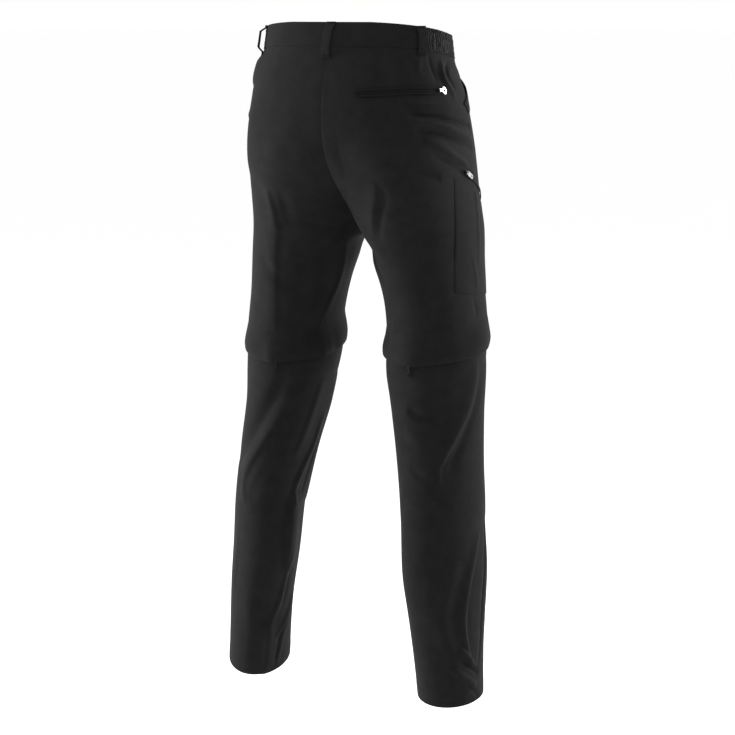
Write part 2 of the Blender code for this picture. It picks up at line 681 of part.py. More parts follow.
def knee(side, word):
    """The zip-off line: a closed zip all round, under a storm flap sewn to the thigh."""
    around = np.linspace(-180, 180, 33)[:-1]
    zip_top, zip_bottom = zip_levels(side)
    levels = (zip_top + SEAM / 2, zip_bottom - SEAM / 2)
    points = np.array([cloth_point(side, level, around, -0.0003) for level in levels])
    name = f"knee_zip_{word}"
    wall(name, ring_mesh(name, points, flip=side < 0), 0.0012, "zip")

    levels = zip_top + np.array((-0.0270, -0.0150, -0.0030, 0.0085, 0.0190))
    stand = np.array((0.0011, 0.0021, 0.0036, 0.0042, 0.0034))
    over_slider = np.exp(-((around - KNEE_PULL_ANGLE) / 17.0) ** 2)
    uneven = 0.0005 * np.sin(np.radians(3 * around + 40 * side)) + 0.0003 * np.sin(np.radians(7 * around))
    inside = KNEE_FLARE * np.exp(-((180 - np.abs(around)) / 45.0) ** 2)
    points = []
    for level, out in zip(levels, stand):
        share = (level - levels[0]) / (levels[-1] - levels[0])
        extra = share * uneven + 0.0046 * min(1.0, 1.5 * share) * over_slider + min(1.0, 2 * share) * inside
        points.append(plain_point(side, level + 0 * around, around)
                      + plain_normal(side, level + 0 * around, around) * (out + extra)[:, None])
    name = f"knee_flap_{word}"
    wall(name, ring_mesh(name, np.array(points), flip=side < 0), 0.0013, "cloth")

    level, angle = np.array([(zip_top + zip_bottom) / 2]), np.array([KNEE_PULL_ANGLE])
    point, normal = plain_point(side, level, angle)[0], plain_normal(side, level, angle)[0]
    place = frame_at(point + normal * (0.0003 + REST + 0.0003), normal, (0, 0, -1.0))
    slider(f"knee_slider_{word}", place, "black metal")
    outline, holes = long_pull(0.0290, 0.0024, 0.0009)
    pull(f"knee_pull_{word}", place, 5.0, outline, holes, "black metal")


clear_scene()
parts = make_collection("zip_off_trousers")
cutters = make_collection("cutters")
waistband()
belt_loops()
for leg_side, leg_word in ((-1, "right"), (1, "left")):
    panel(f"thigh_back_{leg_word}", leg_side, True, thigh_drops(leg_side), PANEL_CELLS, CLOTH, 0.0, "cloth")
    panel(f"thigh_front_{leg_word}", leg_side, False, thigh_drops(leg_side), PANEL_CELLS, CLOTH, 0.0, "cloth")
    panel(f"lower_leg_back_{leg_word}", leg_side, True, shin_drops(leg_side), SHIN_CELLS, CLOTH, 0.0, "cloth")
    panel(f"lower_leg_front_{leg_word}", leg_side, False, shin_drops(leg_side), SHIN_CELLS, CLOTH, 0.0, "cloth")
    knee(leg_side, leg_word)
    leg_facets = Facets(leg_side, thigh_drops(leg_side), PANEL_CELLS)
    hand_pocket(leg_facets, leg_word)
    if leg_side < 0:
        back_pocket(leg_facets)
        thigh_pocket(leg_facets)
    else:
        fly(leg_facets)
waist_button()
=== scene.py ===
# Convertible zip-off hiking trousers, filled out and hollow: the worn cloth, sewing, zips and
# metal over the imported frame. Metres, +Z up, front towards -Y, the wearer's right at -X.
import math
import bmesh
import bpy
import numpy as np
from mathutils import Matrix, Vector


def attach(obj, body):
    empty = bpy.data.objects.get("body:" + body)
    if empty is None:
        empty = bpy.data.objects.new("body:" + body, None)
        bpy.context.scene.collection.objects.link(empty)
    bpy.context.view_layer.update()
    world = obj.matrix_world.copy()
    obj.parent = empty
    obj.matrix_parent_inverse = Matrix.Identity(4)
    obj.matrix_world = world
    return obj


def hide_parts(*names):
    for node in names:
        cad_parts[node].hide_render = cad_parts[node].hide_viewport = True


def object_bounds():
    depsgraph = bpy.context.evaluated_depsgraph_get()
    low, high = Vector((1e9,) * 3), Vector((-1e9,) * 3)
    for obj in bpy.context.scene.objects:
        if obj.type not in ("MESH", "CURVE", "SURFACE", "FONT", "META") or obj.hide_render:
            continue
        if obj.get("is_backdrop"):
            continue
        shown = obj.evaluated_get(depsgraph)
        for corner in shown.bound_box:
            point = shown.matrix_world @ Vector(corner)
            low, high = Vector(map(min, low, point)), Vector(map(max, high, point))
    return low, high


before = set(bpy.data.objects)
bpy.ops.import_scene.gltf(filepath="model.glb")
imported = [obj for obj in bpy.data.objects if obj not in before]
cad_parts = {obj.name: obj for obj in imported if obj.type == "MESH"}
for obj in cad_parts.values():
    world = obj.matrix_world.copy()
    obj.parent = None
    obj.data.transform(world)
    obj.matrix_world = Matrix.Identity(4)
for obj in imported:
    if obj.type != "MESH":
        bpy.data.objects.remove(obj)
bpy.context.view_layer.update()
sides = {"right": -1, "left": 1}    # the wearer's
print("frame loaded")

# The garment's own measures, as cut. A drop is a height measured down from the waist's top edge.
trousers = dict(
    cloth=0.0013,            # wall of the panels
    rest=0.0004,             # gap under a piece that lies on a panel
    bandBottom=0.0335,
    tuck=0.0004,             # the panels reach this far under the waistband
    crotch=0.3000, crotchPull=0.010, crotchReach=0.020,
    zipTop=0.4630, zipBottom=0.4782,
    leftLower=0.0070,        # the left knee line is this much lower
    hem=0.9960,
    frontDip=0.034,
    kneeSlants=(0.12, 0.21), kneeRises=(0.0080, 0.0),    # right leg, left leg
    hemSlants=(0.12, 0.27), hemRises=(0.0, 0.0080),
    seamDip=0.00008, seamReach=0.0009,   # groove where two panels are sewn together
)

# One row for each level of the left leg: drop, inner x in front, inner x behind, outer x,
# front y, back y, squareness of the oval, outward turn in degrees
legRows = [
    (0.000, -0.138, -0.138, 0.137, -0.082, 0.106, 2.4, 0),
    (0.036, -0.142, -0.142, 0.141, -0.090, 0.114, 2.4, 0),
    (0.090, -0.156, -0.154, 0.157, -0.108, 0.130, 2.4, 0),
    (0.150, -0.150, -0.112, 0.166, -0.124, 0.134, 2.3, 0),
    (0.200, -0.130, -0.062, 0.170, -0.134, 0.126, 2.2, 0),
    (0.250, -0.080, -0.021, 0.173, -0.134, 0.108, 2.1, 0),
    (0.300, 0.0008, 0.0008, 0.177, -0.126, 0.092, 2.0, 0),
    (0.340, 0.020, 0.020, 0.180, -0.114, 0.084, 2.0, 0),
    (0.400, 0.040, 0.040, 0.185, -0.104, 0.074, 2.0, 0),
    (0.450, 0.046, 0.046, 0.191, -0.094, 0.072, 2.0, 2),
    (0.500, 0.046, 0.046, 0.192, -0.086, 0.072, 2.0, 5),
    (0.570, 0.061, 0.061, 0.190, -0.070, 0.076, 2.0, 10),
    (0.650, 0.080, 0.080, 0.195, -0.050, 0.088, 2.0, 18),
    (0.730, 0.092, 0.092, 0.202, -0.042, 0.096, 2.0, 24),
    (0.800, 0.099, 0.099, 0.205, -0.040, 0.100, 2.0, 28),
    (0.890, 0.110, 0.110, 0.209, -0.026, 0.096, 2.0, 24),
    (1.000, 0.118, 0.118, 0.214, -0.016, 0.086, 2.0, 15),
]

# Creases listed, in millimetres: reach on the path's one side and on its other side, height,
# then the path of (angle, drop) places. A minus height is a trough.
rightCreases = [
    # hip, from the pocket towards the side seam
    (5, 5, 7, (48, 111), (27, 112), (6, 112), (-6, 115)),
    (5, 4, -7.4, (48, 127), (27, 127), (10, 130), (-10, 136)),
    (4, 5, 7.4, (56, 134), (38, 136), (26, 139), (12, 146), (-10, 159)),
    (5, 4, -6.2, (46, 147), (30, 150), (12, 158), (-8, 169)),
    (5, 6, 4.8, (40, 162), (27, 170), (15, 184), (2, 197)),
    (5, 4, -3.4, (36, 182), (24, 192), (10, 206)),
    (6, 7, -3.6, (56, 202), (44, 209), (32, 215)),
    (3, 3, 2.2, (14, 187), (2, 199), (-8, 211)),
    (3, 4, 5.2, (8, 38), (14, 60), (13, 76), (4, 96)),
    (3, 3, -4, (0, 40), (6, 60), (2, 84)),
    (4, 4, -2.4, (24, 36), (23, 52), (21, 78)),
    (4, 4, 1.8, (30, 36), (33, 50), (36, 66)),
    (3, 3, 1.3, (-10, 36), (-13, 50), (-15, 66)),
    # seat and the top of the thigh, behind
    (12, 12, 2.6, (140, 262), (122, 300), (100, 345)),
    (10, 10, -2.6, (158, 290), (140, 330), (118, 372)),
    (10, 3, 3.2, (85, 222), (90, 244), (100, 270), (113, 312)),
    (3, 6, -2.6, (80, 230), (85, 248), (94, 272), (105, 308)),
    (6, 6, -1.3, (66, 250), (74, 262), (84, 272)),
    (7, 8, -1.3, (50, 300), (62, 314), (74, 322)),
    # front, at the fly and the top of the thigh
    (12, 12, 3.4, (-150, 268), (-116, 256), (-84, 232)),
    (11, 11, -3.2, (-156, 290), (-124, 292), (-92, 286)),
    (6, 9, -1.6, (-146, 236), (-120, 224), (-96, 206)),
    (6, 10, 1.8, (-152, 316), (-128, 326), (-104, 330)),
    # above the knee
    (11, 11, -1.2, (140, 408), (95, 420), (50, 424)),
    (12, 12, -2.6, (-56, 406), (-96, 420), (-136, 428)),
    (3, 4, 1.2, (12, 330), (8, 362), (7, 388)),
    (3, 4, -1.4, (14, 396), (11, 412), (9, 428)),
    # lower leg, behind and outside
    (20, 3, 5.8, (7, 478), (8, 516), (13, 552), (26, 590), (38, 618), (45, 638), (42, 666)),
    (5, 10, -2.6, (-4, 500), (0, 548), (14, 592), (26, 622), (32, 650)),
    (36, 36, 4.2, (-22, 500), (-30, 610), (-38, 730)),
    (9, 8, -6.2, (94, 554), (72, 564), (46, 568)),
    (9, 9, 3.6, (98, 588), (72, 596), (46, 590)),
    (14, 12, -1.4, (66, 520), (50, 566), (44, 600)),
    (22, 22, 1.2, (78, 570), (76, 610), (74, 650)),
    (6, 6, -2.2, (88, 640), (68, 650), (50, 656)),
    (3, 3, -3, (-36, 686), (-45, 725), (-41, 785), (-33, 848), (-26, 902), (-12, 948)),
    (9, 2.6, 4.6, (-22, 740), (-9, 786), (3, 836), (9, 872), (8, 904), (3, 944)),
    (12, 11, 5.2, (14, 776), (30, 822), (41, 868), (35, 908), (22, 936)),
    (11, 11, 1.4, (44, 780), (54, 836), (60, 900)),
    (4, 3, 5, (22, 906), (10, 922), (-6, 944)),
    (3, 4, -4, (22, 925), (6, 940), (-12, 957)),
    (5, 5, 5.6, (38, 933), (22, 950), (-4, 974)),
    (3, 4, -2.2, (18, 962), (6, 976), (-8, 994)),
    # lower leg, in front
    (13, 13, -2.8, (-50, 565), (-90, 596), (-128, 612)),
    (12, 12, 3, (-62, 875), (-96, 914), (-128, 930)),
    (6, 10, 2.1, (-76, 604), (-114, 642), (-148, 668)),
    (6, 10, 1.5, (-88, 730), (-92, 790), (-104, 850)),
    (5, 8, -1.9, (-60, 905), (-84, 938), (-104, 958)),
]
leftCreases = [
    # hip
    (30, 30, 6.2, (22, 34), (24, 56), (24, 88)),
    (8, 8, -2.6, (30, 112), (6, 110), (-20, 116)),
    (4, 8, 2.8, (34, 132), (10, 136), (-16, 146)),
    (8, 5, -2.6, (26, 160), (2, 166), (-24, 180)),
    (4, 4, 1.3, (16, 36), (13, 52), (12, 68)),
    (3, 3, -1.2, (6, 36), (5, 50), (3, 64)),
    (3, 4, 1.3, (-6, 36), (-8, 52), (-9, 68)),
    (4, 3, -1, (-14, 36), (-15, 48), (-16, 60)),
    # seat and the top of the thigh, behind
    (40, 18, 4.6, (42, 110), (44, 175), (50, 240)),
    (12, 12, 2, (140, 258), (118, 300), (98, 340)),
    (10, 10, -2, (156, 292), (136, 330), (116, 366)),
    (14, 14, -1.6, (30, 205), (58, 236), (84, 262)),
    (4, 11, 2.8, (74, 238), (80, 262), (86, 302)),
    (7, 22, 3, (84, 270), (87, 330), (92, 400), (92, 446)),
    (12, 7, -1.8, (86, 236), (93, 264), (98, 292)),
    (7, 9, -1.8, (70, 344), (84, 360), (99, 373)),
    (8, 3.5, 3, (148, 294), (164, 345), (166, 385), (158, 412), (143, 460)),
    (2, 3, -1.2, (158, 424), (152, 440), (147, 456)),
    # front, at the fly and the top of the thigh
    (12, 12, 3.4, (-150, 264), (-116, 256), (-82, 236)),
    (11, 11, -3, (-158, 292), (-124, 294), (-90, 290)),
    (6, 9, -1.5, (-144, 240), (-122, 230), (-100, 214)),
    (6, 10, 1.6, (-150, 320), (-126, 332), (-100, 338)),
    # above the knee
    (11, 11, -1.2, (140, 400), (100, 414), (60, 418)),
    (12, 12, -2.6, (-60, 405), (-100, 417), (-140, 423)),
    # lower leg, behind and inside
    (11, 14, -5.4, (104, 498), (94, 545), (81, 578), (57, 620), (32, 655), (14, 682)),
    (4, 9, 3, (112, 556), (103, 582), (82, 622), (58, 662), (46, 692), (48, 726)),
    (12, 7, -1.2, (118, 600), (99, 644), (72, 690), (62, 724)),
    (9, 3.5, 2.6, (152, 530), (143, 596), (129, 656)),
    (6, 3, 4.8, (172, 590), (162, 640), (146, 672), (134, 706), (133, 734)),
    (3, 3, -2, (176, 636), (162, 688), (149, 722)),
    (20, 6, 8.4, (136, 708), (130, 745), (127, 790), (130, 838)),
    (6, 3, 3.4, (134, 800), (130, 860), (126, 885), (113, 917), (118, 946)),
    (4, 4, -1.8, (142, 820), (139, 866), (134, 896)),
    (3, 4, 3.4, (168, 880), (152, 912), (136, 932), (123, 943)),
    (4, 3, -2.8, (164, 902), (148, 930), (130, 950)),
    (14, 5, 6.6, (106, 915), (111, 950), (113, 998)),
    (4, 4, 2.4, (150, 930), (141, 955), (136, 988)),
    (3, 3, -2, (140, 942), (134, 965), (131, 992)),
    (9, 9, -2.2, (94, 800), (94, 880), (94, 992)),
    (10, 10, 1.4, (60, 850), (74, 900), (84, 950)),
    (6, 12, 1.4, (30, 760), (28, 830), (26, 900)),
    # lower leg, in front
    (13, 13, -2.8, (-50, 560), (-90, 600), (-130, 620)),
    (12, 12, 3, (-60, 880), (-96, 912), (-130, 925)),
    (6, 10, 2.2, (-70, 600), (-112, 646), (-150, 672)),
    (6, 10, 1.6, (-84, 720), (-88, 790), (-100, 860)),
    (5, 8, -2, (-40, 900), (-70, 936), (-96, 955)),
    # inner side of the calf, where the cloth is pulled full
    (22, 22, 5.6, (196, 535), (188, 630), (182, 735)),
    (22, 22, 5.6, (-164, 535), (-172, 630), (-178, 735)),
]

# Broad swells and hollows: side, angle, drop, reach around the leg, reach down it, height
swells = [
    (-1, 98, 0.205, 0.042, 0.050, -0.0060),
    (1, 80, 0.200, 0.032, 0.050, 0.0036),
    (-1, 150, 0.326, 0.036, 0.016, -0.0064),
    (1, -168, 0.328, 0.036, 0.016, -0.0064),
]


# The worn surface


def clamp(x):    # kept between 0 and 1
    return np.clip(x, 0, 1)


def hump(x):    # 0 at both ends, 1 in the middle
    return np.sin(np.pi * clamp(x))


def bell(x):    # 1 at 0, fading to both sides
    return np.exp(-x**2)


def smoothRows(at, values, where):    # rows of values at any place, on a smooth curve
    slopes = np.gradient(values, at, axis=0)
    where = np.clip(where, at[0], at[-1])
    i = np.clip(np.searchsorted(at, where) - 1, 0, len(at) - 2)
    span = (at[i + 1] - at[i])[:, None]
    s = (where - at[i])[:, None] / span
    return ((2 * s**3 - 3 * s**2 + 1) * values[i] + (s**3 - 2 * s**2 + s) * span * slopes[i]
            + (3 * s**2 - 2 * s**3) * values[i + 1] + (s**3 - s**2) * span * slopes[i + 1])


def legSection(drop):    # the columns of legRows at any drop
    rows = np.array(legRows, float)
    return smoothRows(rows[:, 0], rows[:, 1:], drop)


def legOval(drop, angle):    # 0 at the side seam, 90 at the back, 180 inside, minus in front
    innerFront, innerBack, outer, front, back, square, turn = legSection(drop).T
    c, s = np.cos(np.radians(angle)), np.sin(np.radians(angle))
    inner = np.where(s < 0, innerFront, innerBack)
    dx = (outer - inner) / 2 * np.sign(c) * np.abs(c) ** (2 / square)
    dy = (back - front) / 2 * np.sign(s) * np.abs(s) ** (2 / square)
    t = np.radians(turn)
    return ((inner + outer) / 2 + dx * np.cos(t) - dy * np.sin(t),
            (front + back) / 2 + dx * np.sin(t) + dy * np.cos(t))


def levelHeight(side, drop, x, y):    # the waist dips to the front, knee and hem fall to the back
    kneeSlant, kneeRise, hemSlant, hemRise = (
        np.where(np.asarray(side) > 0, trousers[name][1], trousers[name][0])
        for name in ("kneeSlants", "kneeRises", "hemSlants", "hemRises"))
    waist = trousers["frontDip"] / 2 * (1 - np.clip(y / 0.10, -1, 1)) * clamp(1 - drop / 0.30)
    knee = kneeSlant * y - kneeRise * np.clip((x - 0.05) / 0.14, 0, 1.2) ** 2
    knee = knee * clamp((drop - 0.35) / 0.1) * clamp((0.58 - drop) / 0.1)
    hem = hemSlant * (y - 0.04) - hemRise * np.clip((x - 0.13) / 0.08, 0, 1.2) ** 2
    return -drop - waist - knee - hem * clamp((drop - 0.85) / 0.15)


def plainPoint(side, drop, angle):
    x, y = legOval(drop, angle)
    return np.stack([side * x, y, levelHeight(side, drop, x, y)], axis=1)


def plainNormal(side, drop, angle):
    around = plainPoint(side, drop, angle + 1.0) - plainPoint(side, drop, angle - 1.0)
    down = plainPoint(side, drop + 0.002, angle) - plainPoint(side, drop - 0.002, angle)
    normal = np.cross(down, around) * np.broadcast_to(side, drop.shape)[:, None]
    return normal / np.linalg.norm(normal, axis=1, keepdims=True)


def softNoise(x, y, seed):    # smooth unevenness from -1 to 1, the same each run
    xi, yi = np.floor(x), np.floor(y)
    fx, fy = x - xi, y - yi
    sx, sy = fx * fx * (3 - 2 * fx), fy * fy * (3 - 2 * fy)

    def corner(i, j):
        value = np.sin((xi + i) * 12.98 + (yi + j) * 78.23 + seed * 3.71) * 4375.85
        return 2 * (value - np.floor(value)) - 1
    upper = corner(0, 0) * (1 - sx) + corner(1, 0) * sx
    lower = corner(0, 1) * (1 - sx) + corner(1, 1) * sx
    return upper * (1 - sy) + lower * sy


def kneeLines(side):    # upper and lower edge of the zip-off line
    lower = np.where(np.asarray(side) > 0, trousers["leftLower"], 0.0)
    return trousers["zipTop"] + lower, trousers["zipBottom"] + lower


creasePaths = []
for foldSide, folds in ((-1, rightCreases), (1, leftCreases)):
    for reachA, reachB, rise, *path in folds:
        places = np.array([(angle, drop / 1000) for angle, drop in path])
        steps = np.arange(len(places))
        fine = smoothRows(steps.astype(float), places, np.linspace(0, steps[-1], 4 * steps[-1] + 1))
        creasePaths.append((foldSide, fine, reachA / 1000, reachB / 1000, rise / 1000))


def creaseRise(angle, drop, radius, fine, reachA, reachB, rise):    # one crease's height at each place
    nearest = np.full_like(drop, 1.0)
    away, along = np.zeros_like(drop), np.zeros_like(drop)
    for i, ((angleA, dropA), (angleB, dropB)) in enumerate(zip(fine, fine[1:])):
        run, fall = np.radians(angleB - angleA) * radius, dropB - dropA
        hereRun, hereFall = np.radians(angle - angleA) * radius, drop - dropA
        t = clamp((hereRun * run + hereFall * fall) / (run**2 + fall**2))
        distance = np.hypot(hereRun - t * run, hereFall - t * fall)
        near = distance < nearest
        nearest = np.where(near, distance, nearest)
        away = np.where(near, distance * np.sign(hereRun * fall - hereFall * run), away)
        along = np.where(near, (i + t) / (len(fine) - 1), along)
    reach = np.where(away > 0, reachA, reachB)
    return rise * (4 * along * (1 - along)) ** 0.6 * bell(away / reach)


unevenCloth = dict(broad=0.0006, broadAround=0.060, broadDown=0.085, fine=0.00016, fineAround=0.021, fineDown=0.034)


def clothRelief(side, drop, angle):    # how far creases move a point out of the plain surface
    section = legSection(drop)
    radius = ((section[:, 2] - section[:, 1]) + (section[:, 4] - section[:, 3])) / 4
    out = np.zeros_like(drop)
    for foldSide, fine, reachA, reachB, rise in creasePaths:
        low, high = fine[:, 1].min() - 0.03, fine[:, 1].max() + 0.03
        near = (side == foldSide) & (drop > low) & (drop < high)
        if near.any():
            out[near] += creaseRise(angle[near], drop[near], radius[near], fine, reachA, reachB, rise)
    for swellSide, middle, level, reachAround, reachDown, rise in swells:
        away = np.radians((angle - middle + 180) % 360 - 180) * radius / reachAround
        out += (side == swellSide) * rise * np.exp(-away**2 - ((drop - level) / reachDown) ** 2)
    across = np.radians(angle) * radius
    worn = clamp((180 - np.abs(angle)) / 14)
    bent = across / unevenCloth["broadAround"] + 0.5 * softNoise(across / 0.03, drop / 0.05, 5)
    out += worn * unevenCloth["broad"] * softNoise(bent, drop / unevenCloth["broadDown"], 2 + side)
    around, down = across / unevenCloth["fineAround"], drop / unevenCloth["fineDown"]
    out += worn * unevenCloth["fine"] * softNoise(around, down, 7 + side)
    x, _ = legOval(drop, angle)
    ends = clamp((drop - trousers["bandBottom"]) / 0.02)
    ends = ends * np.where(drop < 0.32, clamp((np.abs(x) - 0.004) / 0.02), 1)
    zipTop, zipBottom = kneeLines(side)
    knee = clamp(np.abs(drop - (zipTop + zipBottom) / 2) / 0.03 - 0.35)
    return out * ends * knee


def clothPoint(side, drop, angle, out=0.0):
    given = (np.atleast_1d(a).astype(float) for a in (drop, angle, side, out))
    drop, angle, side, out = np.broadcast_arrays(*given)
    shift = clothRelief(side, drop, angle) + out
    point = plainPoint(side, drop, angle) + plainNormal(side, drop, angle) * shift[:, None]
    fork = np.hypot(drop - trousers["crotch"], point[:, 0]) / trousers["crotchReach"]
    point[:, 2] += trousers["crotchPull"] * bell(fork)    # worn cloth is pulled up between the legs
    return point


def riseTable(back):    # where each level meets its centre seam, or the inseam below the crotch
    fine = np.linspace(60.0, 180.0, 961)
    drops = np.linspace(0, 1, 501)
    ends = []
    for d in drops:
        x, _ = legOval(np.full_like(fine, d), fine if back else -fine)
        ends.append(180.0 if d >= trousers["crotch"] else float(np.interp(-0.0001, -x, fine)))
    return drops, np.array(ends)


riseEnds = {True: riseTable(True), False: riseTable(False)}


# Materials


def linearColour(code):    # "#rrggbb" as Blender's linear colour
    parts = [int(code[i:i + 2], 16) / 255 for i in (1, 3, 5)]
    return (*(p / 12.92 if p <= 0.04045 else ((p + 0.055) / 1.055) ** 2.4 for p in parts), 1.0)


def addNode(tree, kind, fields=None, values=None, links=None):
    node = tree.nodes.new("ShaderNode" + kind)
    for name, value in (fields or {}).items():
        setattr(node, name, value)
    for name, value in (values or {}).items():
        node.inputs[name].default_value = value
    for name, socket in (links or {}).items():
        tree.links.new(socket, node.inputs[name])
    return node


def newMaterial(name, **sockets):
    material = bpy.data.materials.new(name)
    material.use_nodes = True
    shader = material.node_tree.nodes["Principled BSDF"]
    for socket, value in sockets.items():
        shader.inputs[socket.replace("_", " ")].default_value = value
    return material, material.node_tree, shader


def clothMaterial(name, dark, light, roughness, sheen, pitch, depth, nap=0.00005):
    # dark and light are the cloth's colour in painted shade and painted light: the weave's valleys are painted
    # darker and its floats lighter, as the weave's own shading, and a slow blotch adds random tone on top; pitch and
    # depth are the weave's, in metres, on the piece's own UV map, which is in metres too
    material, tree, shader = newMaterial(name, Roughness=roughness, Sheen_Weight=sheen,
                                         Sheen_Roughness=0.45, Sheen_Tint=linearColour("#c4c6ca"),
                                         Specular_IOR_Level=0.08)
    uv = addNode(tree, "UVMap", {"uv_map": "cloth"}).outputs["UV"]
    bands = 2 * math.pi / 20 / pitch    # a Wave texture at scale 1 repeats every 2 pi / 20
    warp, weft = (addNode(tree, "TexWave", {"bands_direction": way}, {"Scale": bands, "Distortion": 0.6,
                          "Detail Scale": 2.0}, {"Vector": uv}).outputs["Fac"] for way in "XY")
    weave = addNode(tree, "Math", {"operation": "MULTIPLY"}, None, {0: warp, 1: weft}).outputs[0]
    fuzz = addNode(tree, "TexNoise", None, {"Scale": 1400.0, "Detail": 3.0}, {"Vector": uv}).outputs["Fac"]
    blotch = addNode(tree, "TexNoise", None, {"Scale": 42.0, "Detail": 4.0, "Roughness": 0.6},
                     {"Vector": uv}).outputs["Fac"]
    # painted shade and painted light: the colour is darker in the weave's valleys and lighter on its floats; the
    # blotch noise adds random tone
    weaveShadeAndBlotch = addNode(tree, "Math", {"operation": "MULTIPLY_ADD"}, {1: 0.45}, {0: weave, 2: blotch})
    ramp = addNode(tree, "MapRange", None, {"From Min": 0.35, "From Max": 1.0}, {"Value": weaveShadeAndBlotch.outputs[0]})
    colour = addNode(tree, "Mix", {"data_type": "RGBA"}, {6: linearColour(dark), 7: linearColour(light)},
                     {0: ramp.outputs[0]})
    tree.links.new(colour.outputs[2], shader.inputs["Base Color"])
    relief = {}    # pucker, then nap, then weave, each on the one before
    for height, distance in ((blotch, 0.00035), (fuzz, nap), (weave, depth)):
        bump = addNode(tree, "Bump", None, {"Strength": 1.0, "Distance": distance}, {"Height": height, **relief})
        relief = {"Normal": bump.outputs[0]}
    tree.links.new(relief["Normal"], shader.inputs["Normal"])
    return material


def metalMaterial(name, colour, roughness, grain):
    # grain is the size of the fine unevenness of the plating or lacquer, in metres
    material, tree, shader = newMaterial(name, Metallic=1.0, Base_Color=linearColour(colour))
    place = addNode(tree, "TexCoord").outputs["Object"]
    noise = addNode(tree, "TexNoise", None, {"Scale": 1 / grain, "Detail": 4.0}, {"Vector": place}).outputs["Fac"]
    gloss = addNode(tree, "MapRange", None, {"From Min": 0.3, "From Max": 0.7, "To Min": roughness * 0.7,
                    "To Max": roughness * 1.5}, {"Value": noise})
    tree.links.new(gloss.outputs[0], shader.inputs["Roughness"])
    bump = addNode(tree, "Bump", None, {"Strength": 0.6, "Distance": 0.00002}, {"Height": noise})
    tree.links.new(bump.outputs[0], shader.inputs["Normal"])
    return material


def resinMaterial(name, dark, light, roughness, grain):
    material, tree, shader = newMaterial(name, Roughness=roughness, IOR=1.5, Specular_IOR_Level=0.15)
    place = addNode(tree, "TexCoord").outputs["Object"]
    noise = addNode(tree, "TexNoise", None, {"Scale": 1 / grain, "Detail": 3.0}, {"Vector": place}).outputs["Fac"]
    colour = addNode(tree, "Mix", {"data_type": "RGBA"}, {6: linearColour(dark), 7: linearColour(light)}, {0: noise})
    tree.links.new(colour.outputs[2], shader.inputs["Base Color"])
    bump = addNode(tree, "Bump", None, {"Strength": 0.5, "Distance": 0.00003}, {"Height": noise})
    tree.links.new(bump.outputs[0], shader.inputs["Normal"])
    return material


# Stretch woven nylon, piece dyed charcoal, with a dry matt face and a soft bloom at grazing angles.
# Its threads are 0.3 mm apart, drawn at 0.9 mm so that they show.
stretchNylon = clothMaterial("stretch woven nylon", "#101011", "#19191a", 0.84, 0.02, 0.0009, 0.00007)
# The same cloth gathered on elastic, where the folds rub a little smoother.
gatheredNylon = clothMaterial("gathered woven nylon", "#111112", "#1c1c1d", 0.7, 0.04, 0.0009, 0.00007)
# Laminated polyester binding, flat, dense and darker than the cloth.
laminatedBinding = clothMaterial("laminated polyester binding", "#0c0c0d", "#131314", 0.8, 0.01, 0.0007, 0.00003,
                                 0.00002)
# Woven polyester zip tape with a fine rib.
zipTapeWeave = clothMaterial("woven polyester zip tape", "#0a0a0b", "#101011", 0.8, 0.01, 0.0006, 0.00005)
# Spun polyester sewing thread, black, slightly glossier than the cloth.
sewingThread = resinMaterial("spun polyester thread", "#0d0d0e", "#131314", 0.8, 0.0008)
# Moulded nylon coil, smooth with a low gloss.
nylonCoil = resinMaterial("nylon zip coil", "#070708", "#0c0c0d", 0.5, 0.002)
# Zinc alloy with a bright nickel plate.
nickelPlate = metalMaterial("bright nickel plate", "#cfcfcd", 0.16, 0.0012)
# Zinc alloy with a baked black lacquer over the metal.
blackLacquer = metalMaterial("black lacquered zinc", "#1b1b1d", 0.34, 0.0010)
# Cast polyester resin button, black, polished.
buttonResin = resinMaterial("cast polyester resin", "#0c0c0d", "#161618", 0.25, 0.004)
print("materials made")


# Pieces of cloth: each is a grid laid on the surface by a function of u, v and a distance out


def meshFrom(bm, name):    # the bmesh as a mesh, once it is finished
    mesh = bpy.data.meshes.new(name)
    bm.to_mesh(mesh)
    bm.free()
    return mesh


def inScene(name, data):    # a new object for a mesh, a light or the camera
    piece = bpy.data.objects.new(name, data)
    bpy.context.scene.collection.objects.link(piece)
    return piece


def settledMesh(piece):    # the object's mesh with its modifiers worked in
    return bpy.data.meshes.new_from_object(piece.evaluated_get(bpy.context.evaluated_depsgraph_get()))


def addPiece(name, mesh, material, body):
    for face in mesh.polygons:
        face.use_smooth = True
    mesh.set_sharp_from_angle(angle=math.radians(42))
    piece = inScene(name, mesh)
    mesh.materials.clear()
    mesh.materials.append(material)
    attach(piece, body)
    return piece


placeOf = {}    # for each node, the function that turns u, v and a distance out into points


